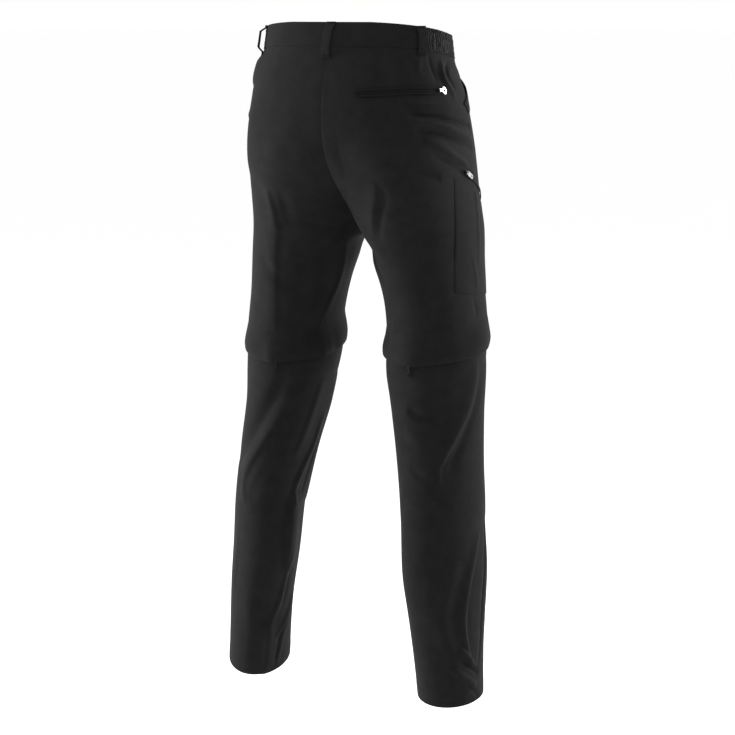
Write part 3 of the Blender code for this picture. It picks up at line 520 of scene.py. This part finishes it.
def clothPiece(node, place, sizes, material=stretchNylon, suffix="_cloth", ring=False):
    placeOf[node], name, flat = place, node + suffix, sizes["flat"]
    bm = bmesh.new()
    bm.loops.layers.uv.new("cloth")
    bmesh.ops.create_grid(bm, x_segments=sizes["grid"][0], y_segments=sizes["grid"][1], size=0.5, calc_uvs=True)
    corners = np.array([v.co for v in bm.verts])
    points = place(corners[:, 0] + 0.5, 0.5 - corners[:, 1], 0.0)
    for vert, point in zip(bm.verts, points):
        vert.co = point
    layer = bm.loops.layers.uv.active
    for face in bm.faces:
        for loop in face.loops:
            loop[layer].uv = (loop[layer].uv[0] * flat[0], loop[layer].uv[1] * flat[1])
    bm.normal_update()
    u, v = np.array([0.37]), np.array([0.53])
    across = place(u + 0.01, v, 0.0) - place(u, v, 0.0)
    down = place(u, v + 0.01, 0.0) - place(u, v, 0.0)
    outwards = place(u, v, 0.001) - place(u, v, 0.0)
    if float(np.dot(np.cross(down[0], across[0]), outwards[0])) < 0:
        bmesh.ops.reverse_faces(bm, faces=bm.faces)
    if ring:
        bmesh.ops.remove_doubles(bm, verts=bm.verts, dist=0.00002)
    base = inScene(name + "_base", meshFrom(bm, name))
    shell = base.modifiers.new("wall", "SOLIDIFY")
    shell.thickness = sizes["wall"]
    shell.offset = 0.0
    if "rim" in sizes:
        edge = base.modifiers.new("rim", "BEVEL")
        edge.width = sizes["rim"]
        edge.segments = 2
        edge.limit_method = "ANGLE"
        edge.angle_limit = math.radians(60)
    settled = settledMesh(base)
    settled.name = name
    bpy.data.objects.remove(base, do_unlink=True)
    piece = addPiece(name, settled, material, "trousers")
    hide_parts(node)


def evenShare(u):    # columns drawn closer together towards the two seams
    return 0.45 * u + 0.55 * (1 - np.cos(np.pi * u)) / 2


def thighDrop(side, v):    # rows drawn closer together towards the crotch
    top, crotch = trousers["bandBottom"] - trousers["tuck"], trousers["crotch"]
    upper = top + (crotch - top) * (1 - (1 - clamp(v / 0.64)) ** 1.2)
    lower = crotch + (kneeLines(side)[0] - crotch) * clamp((v - 0.64) / 0.36)
    return np.where(v < 0.64, upper, lower)


def shinDrop(side, v):
    top = kneeLines(side)[1]
    return top + (trousers["hem"] - top) * v


def panelPlace(side, back, dropOf):
    def place(u, v, out):
        drop, share = dropOf(side, v), evenShare(u)
        drops, ends = riseEnds[back]
        end = np.interp(drop, drops, ends)
        angle = end * share * (1 if back else -1)
        section = legSection(drop)
        width = np.radians(end) * (section[:, 4] - section[:, 3]) / 2
        seam = np.minimum(share, 1 - share) * width
        groove = trousers["seamDip"] * bell(seam / trousers["seamReach"])
        if back:    # the centre back seam pulls in above the seat
            groove *= 1 + 5 * bell((drop - 0.112) / 0.018) * (share > 0.5)
        hemRoll = 0.0004 * clamp((drop - trousers["hem"] + 0.022) / 0.004)
        return clothPoint(side, drop, angle, out - trousers["cloth"] / 2 - groove + hemRoll)
    return place


panels = {
    "thigh_back": dict(grid=(120, 156), wall=trousers["cloth"], flat=(0.300, 0.430), area=0.104),
    "thigh_front": dict(grid=(120, 156), wall=trousers["cloth"], flat=(0.270, 0.430), area=0.100),
    "lower_leg_back": dict(grid=(84, 180), wall=trousers["cloth"], flat=(0.235, 0.520), area=0.105),
    "lower_leg_front": dict(grid=(84, 180), wall=trousers["cloth"], flat=(0.235, 0.520), area=0.105),
}
for sideWord, sideNumber in sides.items():
    for part, sizes in panels.items():
        onThigh = part.startswith("thigh")
        place = panelPlace(sideNumber, part.endswith("back"), thighDrop if onThigh else shinDrop)
        clothPiece(f"{part}_{sideWord}", place, sizes)
print("leg panels laid")


# Waistband


waistband = dict(wall=0.0022, stand=0.0007, elasticBack=26.0, elasticFront=-20.0, ribs=16,
                 ribDepth=0.0011, plump=0.0004)
bandBack = dict(grid=(150, 16), wall=waistband["wall"], flat=(0.325, 0.034), rim=0.0007)
bandFront = dict(grid=(84, 16), wall=waistband["wall"], flat=(0.160, 0.034), rim=0.0007)
bandElastic = dict(grid=(240, 24), wall=waistband["wall"], flat=(0.110, 0.034), rim=0.0005)


def bandDrop(v):
    return (trousers["bandBottom"] - 0.0002) * v


def bandPlump(v):    # the folded band is fuller in its middle
    return waistband["plump"] * hump(v) ** 0.5


def bandPoint(side, v, angle, out):
    return clothPoint(side, bandDrop(v), angle, out + waistband["stand"] - waistband["wall"] / 2)


def bandBackPlace(u, v, out):
    centre = float(np.interp(0.018, *riseEnds[True]))
    side = np.where(u < 0.5, -1.0, 1.0)
    angle = waistband["elasticBack"] + 0.15 + (centre - waistband["elasticBack"]) * (1 - np.abs(2 * u - 1))
    angle = np.minimum(angle, centre)
    plump = bandPlump(v) + 0.0003 * softNoise(u * 9, v * 1.5, 4)
    return bandPoint(side, v, angle, out + plump)


def bandFrontPlace(side):
    def place(u, v, out):
        centre = float(np.interp(0.018, *riseEnds[False]))
        angle = waistband["elasticFront"] - 0.15 + (-centre - waistband["elasticFront"]) * u
        plump = bandPlump(v) + 0.0003 * softNoise(u * 7, v * 1.5, 9 + side)
        return bandPoint(side, v, np.maximum(angle, -centre), out + plump)
    return place


def elasticPlace(side):
    def place(u, v, out):
        angle = waistband["elasticBack"] + (waistband["elasticFront"] - waistband["elasticBack"]) * u
        # the gathers wander, fork and end between the four rows of elastic stitching
        lean = 0.034 * softNoise(u * 8, v * 4.5, 3 + side) + 0.012 * softNoise(u * 25, v * 8, 11 + side)
        wave = np.sin(2 * np.pi * waistband["ribs"] * (u + lean))
        depth = waistband["ribDepth"] * (0.75 + 0.5 * softNoise(u * 19, v * 7, 6 + side))
        fine = 0.0004 * softNoise(u * 70, v * 12, 21 + side)
        rows = -0.0006 * sum(bell((v - at) / 0.04) for at in (0.10, 0.36, 0.64, 0.90))
        fade = clamp(np.minimum(u, 1 - u) / 0.07 - 0.2)
        return bandPoint(side, v, angle, out + (depth * wave + fine) * fade + rows)
    return place


clothPiece("waistband_back", bandBackPlace, bandBack)
for sideWord, sideNumber in sides.items():
    clothPiece(f"waistband_front_{sideWord}", bandFrontPlace(sideNumber), bandFront)
    clothPiece(f"waistband_elastic_{sideWord}", elasticPlace(sideNumber), bandElastic, gatheredNylon)
print("waistband laid")


# Belt loops


loops = dict(width=0.0145, wall=0.0013, top=-0.0005, stand=0.0018, seated=0.0006, grid=(14, 44),
             flat=(0.0145, 0.0500), rim=0.0004)
# Each loop's side (0 on the centre line), angle, twist, how far it stands off, drop of its lower
# end, and how far its upper end is moved towards the wearer's right
loopRows = {
    "belt_loop_centre_back": (0, 0.0, 0.0012, 0.0066, 0.0492, 0.0040),
    "belt_loop_back_right": (-1, 30.0, 0.0006, 0.0044, 0.0418, 0.0),
    "belt_loop_back_left": (1, 29.0, 0.0034, 0.0076, 0.0440, 0.0),
    "belt_loop_front_right": (-1, -42.0, -0.0005, 0.0031, 0.0430, 0.0),
    "belt_loop_front_left": (1, -42.0, -0.0005, 0.0031, 0.0430, 0.0),
}


def loopPlace(side, angle, lean, bulge, bottom, skew):
    def place(u, v, out):
        level = loops["top"] + (bottom - loops["top"]) * v
        drop = np.maximum(level, 0.0)
        if side == 0:
            base = plainPoint(1, drop, np.interp(drop, *riseEnds[True]))
            base[:, 0] = 0.0
            normal = np.tile((0.0, 1.0, 0.0), (len(u), 1))
            across = np.tile((-1.0, 0.0, 0.0), (len(u), 1))
        else:
            base = plainPoint(side, drop, np.full_like(drop, angle))
            normal = plainNormal(side, drop + 0.003, np.full_like(drop, angle))
            across = np.cross((0.0, 0.0, 1.0), normal)
            across = across / np.linalg.norm(across, axis=1, keepdims=True)
        base[:, 2] -= np.minimum(level, 0.0)
        arch = clamp(1.9 * (hump(v) - 0.2))
        arch = arch * arch * (3 - 2 * arch)
        crown = 0.0003 * (1 - (2 * u - 1) ** 2) + lean * (u - 0.5)
        stand = loops["stand"] - loops["seated"] * clamp((level - trousers["bandBottom"]) / 0.005)
        sideways = (u - 0.5) * loops["width"] * (1 - 0.05 * arch) + skew * (1 - v)
        return base + across * sideways[:, None] + normal * (stand + bulge * arch + crown + out)[:, None]
    return place


for node, row in loopRows.items():
    clothPiece(node, loopPlace(*row), loops)
print("belt loops laid")


# Pieces that lie on the panels: patches between four (angle, drop) corners


def patchPlace(side, corners, stand, bow=None):
    topA, topB, bottomA, bottomB = (np.array(c, float) for c in corners)

    def place(u, v, out):
        at = ((1 - v)[:, None] * ((1 - u)[:, None] * topA + u[:, None] * topB)
              + v[:, None] * ((1 - u)[:, None] * bottomA + u[:, None] * bottomB))
        extra = bow(u, v) if bow else 0.0
        return clothPoint(side, at[:, 1], at[:, 0], stand + out + extra)
    return place


def beside(place, direction, offset):    # the (angle, drop) place at an offset across a line
    section = legSection(np.array([place[1]]))[0]
    radius = (section[4] - section[3]) / 2
    run = math.hypot(math.radians(direction[0]) * radius, direction[1])
    across = (-direction[1] / run, math.radians(direction[0]) * radius / run)
    if across[1] < 0:
        across = (-across[0], -across[1])
    return place[0] + math.degrees(offset * across[0] / radius), place[1] + offset * across[1]


def stripPlace(side, a, b, low, high, stand, bow=None):
    direction = (b[0] - a[0], b[1] - a[1])
    corners = [beside(p, direction, offset) for offset in (low, high) for p in (a, b)]
    return patchPlace(side, corners, stand, bow)


# Slanted hand pockets: the turned edge stands off the panel a little
handPocket = dict(corners=((-56.0, 0.0345), (-3.0, 0.1040), (-54.0, 0.0515), (-10.0, 0.1180)), wall=0.0012,
                  stand=0.0010, gape=0.0044, grid=(90, 12), flat=(0.130, 0.018), rim=0.0004)


def gape(u, v):    # the mouth opens most a third of the way down
    return handPocket["gape"] * hump(0.25 + 0.8 * u) ** 2 * (1 - v) + 0.0003 * softNoise(u * 8, v * 2, 3)


for sideWord, sideNumber in sides.items():
    place = patchPlace(sideNumber, handPocket["corners"], trousers["rest"] + handPocket["stand"], gape)
    clothPiece(f"hand_pocket_edge_{sideWord}", place, handPocket)

# Right back pocket: a narrow zip between two bound edges
backPocket = dict(a=(76.0, 0.0975), b=(18.5, 0.0895), half=0.0017, binding=0.0034, apart=0.0002, wall=0.0012,
                  grid=(110, 6), flat=(0.125, 0.0034), rim=0.0004)
backZip = dict(wall=0.0008, grid=(110, 4), flat=(0.125, 0.0034))
a, b, half, inner = backPocket["a"], backPocket["b"], backPocket["half"], backPocket["half"] + backPocket["apart"]
lift = trousers["rest"] + 0.0001


def rolled(u, v):    # the binding is folded, so it is fuller in its middle
    return 0.0004 * hump(v)


for node, low, high in (("back_pocket_welt_upper", -inner - backPocket["binding"], -inner),
                        ("back_pocket_welt_lower", inner, inner + backPocket["binding"])):
    clothPiece(node, stripPlace(-1, a, b, low, high, lift + 0.0006, rolled), backPocket, laminatedBinding)
clothPiece("back_pocket_zip", stripPlace(-1, a, b, -half, half, lift + 0.0003), backZip, zipTapeWeave,
           "_tape")

# Right thigh pocket: a full patch with a slanted zip above it
thighPocket = dict(corners=((20.0, 0.2140), (-36.0, 0.2740), (38.5, 0.3820), (-40.0, 0.4080)), wall=0.0008,
                   stand=0.0006, full=0.0016, grid=(72, 80), flat=(0.140, 0.170), rim=0.0004, area=0.0205)
thighZip = dict(a=(21.0, 0.1900), b=(-36.0, 0.2610), half=0.0028, wall=0.0010, grid=(110, 8),
                flat=(0.135, 0.0056), rim=0.0003)


def fullness(u, v):
    crown = thighPocket["full"] * hump(u) * hump(v) ** 0.7
    pleat = 0.0016 * bell((u - 0.42 - 0.05 * v) / 0.035) * clamp(1.6 - 2 * v)
    edge = -0.0007 * bell(u / 0.016)
    return crown + pleat + edge + 0.0004 * softNoise(u * 4, v * 5, 8) * hump(v)


clothPiece("thigh_pocket", patchPlace(-1, thighPocket["corners"], thighPocket["stand"], fullness),
           thighPocket)


def garaged(u, v):    # the zip's closed end runs under the panel's cloth
    return rolled(u, v) - 0.0034 * clamp((0.27 - u) / 0.06)


clothPiece("thigh_pocket_zip", stripPlace(-1, thighZip["a"], thighZip["b"], -thighZip["half"], thighZip["half"],
                                          lift + 0.0005, garaged),
           thighZip, laminatedBinding, "_tape")

# Front closing: the left front's flap over the fly
flyFlap = dict(top=0.0341, bottom=0.196, width=0.038, stand=0.0009, wall=0.0012, grid=(24, 90),
               flat=(0.038, 0.160), rim=0.0004)


def flyPlace(u, v, out):
    drop = flyFlap["top"] + (flyFlap["bottom"] - flyFlap["top"]) * v
    reach = flyFlap["width"] * np.sqrt(np.maximum(0.06, 1 - np.maximum(0.0, (v - 0.72) / 0.28) ** 2))
    target = 0.0005 + (reach - 0.0005) * u
    fine = np.linspace(-60, -150, 200)
    angles = np.empty_like(drop)
    for level in np.unique(drop):
        here = drop == level
        x, _ = legOval(np.full(200, level), fine)
        angles[here] = np.interp(-target[here], -x, fine)
    return clothPoint(1, drop, angles, out + trousers["rest"] + flyFlap["stand"])


clothPiece("fly_flap", flyPlace, flyFlap)
print("pockets and fly laid")


# Knees: a closed zip all round under a storm flap sewn to the thigh


kneeFlap = dict(top=-0.0270, deep=0.0460, sunk=0.0006, full=0.0044, tuck=0.0015, wall=0.0009, overSlider=0.0046,
                sliderAngle=93.0, flare=0.0030, grid=(240, 26), flat=(0.500, 0.046), rim=0.0004)
kneeZip = dict(wall=0.0010, sunk=0.0003, apart=0.0002, grid=(180, 6), flat=(0.490, 0.015))
# Soft upright folds in each flap, over the creases above and below it: angle, reach in degrees, height
flapFolds = {1: ((146, 6, 0.0042), (87, 6, 0.0018), (165, 6, -0.0030)), -1: ((4, 20, 0.0048), (60, 14, -0.0006))}


def flapPlace(side):
    def place(u, v, out):
        angle = -180 + 360 * u
        level = kneeFlap["top"] + kneeFlap["deep"] * v
        swell = clamp(v / 0.78)    # it leaves the thigh without a step and tucks in at its hem
        stand = (kneeFlap["full"] * swell**2 * (3 - 2 * swell) - kneeFlap["sunk"] * clamp(1 - v / 0.2)
                 - kneeFlap["tuck"] * clamp((v - 0.82) / 0.18) ** 1.5)
        uneven = 0.0005 * np.sin(np.radians(3 * angle + 40 * side)) + 0.0003 * np.sin(np.radians(7 * angle))
        uneven = uneven + np.minimum(1.0, 2 * v) * kneeFlap["flare"] * bell((180 - np.abs(angle)) / 45)
        overSlider = bell((angle - kneeFlap["sliderAngle"]) / 17)
        bump = kneeFlap["overSlider"] * np.minimum(1.0, 1.5 * v) * overSlider
        ease = hump(v) ** 0.5
        join = clamp(np.minimum(u, 1 - u) / 0.05)
        soft = 0.0007 * softNoise((u * 14) % 14, v * 2.2, 5 + side) * ease * join
        for foldAngle, reach, rise in flapFolds[side]:
            uneven = uneven + rise * bell((angle - foldAngle) / reach)
        sewn = -0.0003 * bell((v - 0.86) / 0.03)
        drop = kneeLines(side)[0] + level + 0.0006 * v * np.sin(np.radians(5 * angle + 60 * side))
        normal = plainNormal(side, drop, angle)
        shift = stand + v * uneven + bump + soft + sewn + out
        return plainPoint(side, drop, angle) + normal * shift[:, None]
    return place


def kneeZipPlace(side):
    def place(u, v, out):
        top, bottom = kneeLines(side)
        drop = top + kneeZip["apart"] + (bottom - top - 2 * kneeZip["apart"]) * v
        return clothPoint(side, drop, -180 + 360 * u, out - kneeZip["sunk"])
    return place


for sideWord, sideNumber in sides.items():
    clothPiece(f"knee_flap_{sideWord}", flapPlace(sideNumber), kneeFlap, ring=True)
    clothPiece(f"knee_zip_{sideWord}", kneeZipPlace(sideNumber), kneeZip, zipTapeWeave, "_tape",
               ring=True)
print("knee flaps and zips laid")


# Sewing and zip teeth: one small shape repeated along lines drawn in a piece's own u and v


def smallShape(length, width, height):
    bm = bmesh.new()
    bmesh.ops.create_icosphere(bm, subdivisions=1, radius=0.5)
    bmesh.ops.transform(bm, matrix=Matrix.Diagonal((length, width, height, 1)), verts=bm.verts)
    return meshFrom(bm, "small_shape")


def placesAlong(place, path, pitch, out, turned=False):
    # matrices with X along the line and Z out of the cloth, or X across it when turned
    path = np.array(path, float)
    corners = np.arange(len(path))

    def points(times, extra=0.0):
        return place(np.interp(times, corners, path[:, 0]), np.interp(times, corners, path[:, 1]), out + extra)
    t = np.linspace(0, corners[-1], 90 * corners[-1] + 1)
    run = np.concatenate([[0], np.cumsum(np.linalg.norm(np.diff(points(t), axis=0), axis=1))])
    count = max(1, int(run[-1] / pitch))
    at = (np.arange(count) + 0.5) * run[-1] / count
    rear, here, front = (points(np.interp(clamp((at + step) / run[-1]) * run[-1], run, t))
                         for step in (-pitch * 0.4, 0, pitch * 0.4))
    above = points(np.interp(at, run, t), 0.001)
    places = []
    for p, n, f, r in zip(here, above, front, rear):
        z = Vector(n - p).normalized()
        x = Vector(f - r)
        x = (x - z * x.dot(z)).normalized()
        y = z.cross(x)
        matrix = Matrix((y, -x, z) if turned else (x, y, z)).transposed().to_4x4()
        matrix.translation = Vector(p)
        places.append(matrix)
    return places


def repeated(name, shape, places, material):
    bm = bmesh.new()
    shape = shape.copy()
    start = np.empty(len(shape.vertices) * 3, np.float32)
    shape.vertices.foreach_get("co", start)
    for matrix in places:
        shape.vertices.foreach_set("co", start)
        shape.transform(matrix)
        bm.from_mesh(shape)
    addPiece(name, meshFrom(bm, name), material, "trousers")


def acrossRow(node, v, out, start=0.01, end=0.99):    # a level line on a piece
    return node, [(start, v), (end, v)], out


def downRow(node, u, out, start=0.01, end=0.99):    # a line down a piece
    return node, [(u, start), (u, end)], out


stitching = dict(length=0.0027, pitch=0.0034, width=0.00040, height=0.00026)
stitch = smallShape(stitching["length"], stitching["width"], stitching["height"])


def stitchRows(name, rows):    # rows: node, path in u and v, distance from the sheet
    places = []
    for node, path, out in rows:
        places += placesAlong(placeOf[node], path, stitching["pitch"], out)
    repeated(name, stitch, places, sewingThread)


halfCloth, halfBand = trousers["cloth"] / 2, waistband["wall"] / 2
seamRows = []
for sideWord in sides:
    back, front = f"thigh_back_{sideWord}", f"thigh_front_{sideWord}"
    seamRows += [downRow(back, 0.033, halfCloth), downRow(back, 0.966, halfCloth, end=0.63),
                 downRow(front, 0.966, halfCloth, 0.35, 0.63),
                 downRow(f"lower_leg_back_{sideWord}", 0.036, halfCloth, end=0.96)]
    for face in ("back", "front"):
        seamRows += [acrossRow(f"lower_leg_{face}_{sideWord}", level, halfCloth, 0.02, 0.98)
                     for level in (0.963, 0.012)]
stitchRows("seam_stitches", seamRows)

bandRows = []
for node in [name for name in placeOf if name.startswith("waistband")]:
    bandRows += [acrossRow(node, level, halfBand) for level in (0.07, 0.94)]
    if "elastic" in node:
        bandRows += [acrossRow(node, level, halfBand, 0.02, 0.98) for level in (0.36, 0.64)]
for node in loopRows:
    bandRows += [downRow(node, across, loops["wall"] / 2, 0.02, 0.98) for across in (0.16, 0.84)]
stitchRows("waistband_stitches", bandRows)

onEdge = handPocket["wall"] / 2    # the welts and the fly flap are as thick
onPatch = thighPocket["wall"] / 2
pocketRows = []
for sideWord in sides:
    pocketRows += [acrossRow(f"hand_pocket_edge_{sideWord}", level, onEdge) for level in (0.12, 0.42)]
    pocketRows += [acrossRow(f"knee_flap_{sideWord}", 0.86, kneeFlap["wall"] / 2, 0.0, 1.0)]
pocketRows += [
    ("thigh_pocket", [(0.015, 0.01), (0.015, 0.985), (0.985, 0.985), (0.985, 0.01)], onPatch),
    ("thigh_pocket", [(0.055, 0.01), (0.055, 0.95), (0.945, 0.95), (0.945, 0.01)], onPatch),
    acrossRow("thigh_pocket", 0.06, onPatch, 0.02, 0.98),
    *(acrossRow(f"back_pocket_welt_{word}", 0.5, onEdge) for word in ("upper", "lower")),
    *(acrossRow("thigh_pocket_zip", level, 0.0005) for level in (0.16, 0.84)),
    ("fly_flap", [(0.86, 0.0), (0.86, 0.72), (0.70, 0.88), (0.12, 0.97)], onEdge),
    ("fly_flap", [(0.70, 0.0), (0.70, 0.70), (0.55, 0.84), (0.12, 0.90)], onEdge),
]
stitchRows("pocket_and_flap_stitches", pocketRows)

# Bar tacks: dense rows of short stitches at the ends of loops and pockets
tacking = dict(length=0.0040, width=0.00042, height=0.00045, pitch=0.0006)
tack = smallShape(tacking["length"], tacking["width"], tacking["height"])
tackRows = []
for node in loopRows:
    tackRows += [acrossRow(node, level, loops["wall"] / 2 + 0.0001, 0.12, 0.88) for level in (0.045, 0.955)]
for sideWord in sides:
    tackRows += [downRow(f"hand_pocket_edge_{sideWord}", across, 0.0007, 0.08, 0.55) for across in (0.03, 0.95)]
tackRows += [acrossRow("thigh_pocket", 0.02, onPatch, 0.91, 0.97)]
tackRows += [downRow("back_pocket_zip", across, 0.0008, 0.0, 1.0) for across in (0.012, 0.988)]
tacks = []
for node, path, out in tackRows:
    tacks += placesAlong(placeOf[node], path, tacking["pitch"], out, True)
repeated("bar_tacks", tack, tacks, sewingThread)
print("sewing done")

# Zip coils: one loop every 1.5 mm, lying across the tape
coilPitch, onTape = 0.0015, 0.0006
coil = smallShape(0.0026, 0.0011, 0.0009)
wideCoil = smallShape(0.0042, 0.0011, 0.0010)
backCoil = placesAlong(placeOf["back_pocket_zip"], [(0.03, 0.5), (0.97, 0.5)], coilPitch, onTape, True)
repeated("back_pocket_coil", coil, backCoil, nylonCoil)
for sideWord in sides:
    ringPath = [(around, 0.5) for around in (0.0, 0.25, 0.5, 0.75, 1.0)]
    turns = placesAlong(placeOf[f"knee_zip_{sideWord}"], ringPath, coilPitch, onTape, True)
    repeated(f"knee_coil_{sideWord}", wideCoil, turns, nylonCoil)
print("zip coils done")


# Metal: the frame's own sliders and pulls, with their edges rounded


def roundedMetal(node, material, body, rim):
    bm = bmesh.new()
    bm.from_mesh(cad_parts[node].data)
    bmesh.ops.remove_doubles(bm, verts=bm.verts, dist=0.000002)
    bmesh.ops.dissolve_limit(bm, angle_limit=math.radians(2), verts=bm.verts, edges=bm.edges)
    sharp = [e for e in bm.edges if e.is_manifold and e.calc_face_angle(0.0) > math.radians(55)]
    bmesh.ops.bevel(bm, geom=sharp, offset=rim, offset_type="OFFSET", segments=2, profile=0.5, affect="EDGES",
                    clamp_overlap=True, material=-1)
    bmesh.ops.triangulate(bm, faces=[f for f in bm.faces if len(f.verts) > 4])
    piece = addPiece(node + "_metal", meshFrom(bm, node + "_metal"), material, body)
    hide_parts(node)


pullRim, sliderRim = 0.00018, 0.00015
for node in ("back_pocket_pull", "thigh_pocket_pull"):
    roundedMetal(node, nickelPlate, node + "_tab", pullRim)
for node in ("knee_pull_right", "knee_pull_left"):
    roundedMetal(node, blackLacquer, node + "_tab", pullRim)
for node in ("back_pocket_slider", "thigh_pocket_slider", "knee_slider_right", "knee_slider_left"):
    roundedMetal(node, blackLacquer, "trousers", sliderRim)


# Waist button: a dished disc with a raised rim, four holes and crossed thread
waistButton = dict(radius=0.0085, thick=0.0030, rim=0.0016, hole=0.0008, holeFrom=0.0019)


def buttonPlace():
    angle, drop = np.array([-84.0]), np.array([trousers["bandBottom"] / 2])
    point, normal = plainPoint(1, drop, angle)[0], plainNormal(1, drop, angle)[0]
    z = Vector(normal)
    x = (Vector((0, 0, 1)) - z * z.z).normalized()
    place = Matrix((x, z.cross(x), z)).transposed().to_4x4()
    place.translation = Vector(point) + z * (0.0007 + trousers["rest"] + 0.0015)
    return place


def quarterTurn(i):    # the holes lie on the diagonals
    return Matrix.Rotation(math.radians(45 + 90 * i), 4, "Z")


def makeButton():
    radius, half = waistButton["radius"], waistButton["thick"] / 2
    profile = [(0.0, -half), (radius - 0.0012, -half), (radius - 0.0002, -half + 0.0006), (radius, 0.0),
               (radius - 0.0003, half - 0.0005), (radius - 0.0009, half),
               (radius - waistButton["rim"], half - 0.0002), (radius - 0.0024, half - 0.0009),
               (0.0, half - 0.0010)]
    bm = bmesh.new()
    verts = [bm.verts.new((x, 0, z)) for x, z in profile]
    edges = [bm.edges.new(pair) for pair in zip(verts, verts[1:])]
    bmesh.ops.spin(bm, geom=verts + edges, cent=(0, 0, 0), axis=(0, 0, 1), angle=2 * math.pi, steps=48,
                   use_merge=True)
    bmesh.ops.remove_doubles(bm, verts=bm.verts, dist=0.00001)
    bmesh.ops.recalc_face_normals(bm, faces=bm.faces)
    disc = inScene("waist_button_base", meshFrom(bm, "waist_button_base"))
    holes = bmesh.new()
    for i in range(4):
        hole = quarterTurn(i) @ Matrix.Translation((waistButton["holeFrom"], 0, 0))
        bmesh.ops.create_cone(holes, cap_ends=True, segments=16, radius1=waistButton["hole"],
                              radius2=waistButton["hole"], depth=0.01, matrix=hole)
    drill = inScene("button_holes", meshFrom(holes, "button_holes"))
    cut = disc.modifiers.new("holes", "BOOLEAN")
    cut.operation = "DIFFERENCE"
    cut.object = drill
    done = settledMesh(disc)
    for used in (disc, drill):
        bpy.data.objects.remove(used, do_unlink=True)
    done.name = "waist_button_resin"
    done.transform(buttonPlace())
    button = addPiece("waist_button_resin", done, buttonResin, "trousers")
    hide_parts("waist_button")
    strand = smallShape(0.0046, 0.0006, 0.0005)
    crossed = []
    for i in range(2):
        height = half - 0.0007 + 0.0002 * i
        for offset in (-0.0004, 0.0, 0.0004):
            crossed.append(buttonPlace() @ quarterTurn(i) @ Matrix.Translation((0, offset, height)))
    repeated("button_thread", strand, crossed, sewingThread)


makeButton()
print("metal and button done")


# Floor, light and camera


studio = dict(floor=-1.34, size=400.0, azimuth=206.0, elevation=12.0, distance=2.6, target=(0.0, 0.0, -0.52),
              lens=83.8, shiftX=0.0068, shiftY=0.0041)
# Each light's turn from the camera's azimuth, elevation, distance, width, height and power in watts
softboxes = {
    "left_softbox": (-100, 8, 1.9, 0.5, 2.0, 60),
    "right_softbox": (104, 8, 1.9, 0.5, 2.0, 40),
    "top_softbox": (0, 70, 2.2, 1.6, 1.6, 12),
}
bm = bmesh.new()
bmesh.ops.create_grid(bm, x_segments=1, y_segments=1, size=studio["size"])
bmesh.ops.translate(bm, vec=(0, 0, studio["floor"]), verts=bm.verts)
floor = inScene("floor", meshFrom(bm, "floor"))
# Matt seamless paper, nearly white, with no gloss.
floorPaper = newMaterial("pale matt studio paper", Base_Color=linearColour("#fefefe"), Roughness=0.95)[0]
floor.data.materials.append(floorPaper)
floor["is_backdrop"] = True

world = bpy.data.worlds.new("studio")
world.use_nodes = True
world.node_tree.nodes["Background"].inputs["Color"].default_value = linearColour("#ffffff")
world.node_tree.nodes["Background"].inputs["Strength"].default_value = 1.0
bpy.context.scene.world = world
bpy.context.scene.view_settings.view_transform = "Standard"    # the cloth's colours are sRGB values


def aimed(name, data, azimuth, elevation, distance):    # a light or the camera, turned to the trousers
    a, e = math.radians(azimuth), math.radians(elevation)
    way = Vector((math.sin(a) * math.cos(e), -math.cos(a) * math.cos(e), math.sin(e)))
    thing = inScene(name, data)
    thing.location = Vector(studio["target"]) + way * distance
    thing.rotation_mode = "QUATERNION"
    thing.rotation_quaternion = (-way).to_track_quat("-Z", "Y")
    return thing


for name, (turn, elevation, distance, width, tall, power) in softboxes.items():
    light = bpy.data.lights.new(name, "AREA")
    light.shape = "RECTANGLE"
    light.size, light.size_y, light.energy = width, tall, power
    aimed(name, light, studio["azimuth"] + turn, elevation, distance)

camera = aimed("camera", bpy.data.cameras.new("camera"), studio["azimuth"], studio["elevation"], studio["distance"])
camera.data.sensor_width = 36.0
camera.data.lens = studio["lens"]
camera.data.shift_x, camera.data.shift_y = studio["shiftX"], studio["shiftY"]
camera.data.clip_start, camera.data.clip_end = 0.05, 100.0
bpy.context.scene.camera = camera
print("studio set")

low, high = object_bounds()
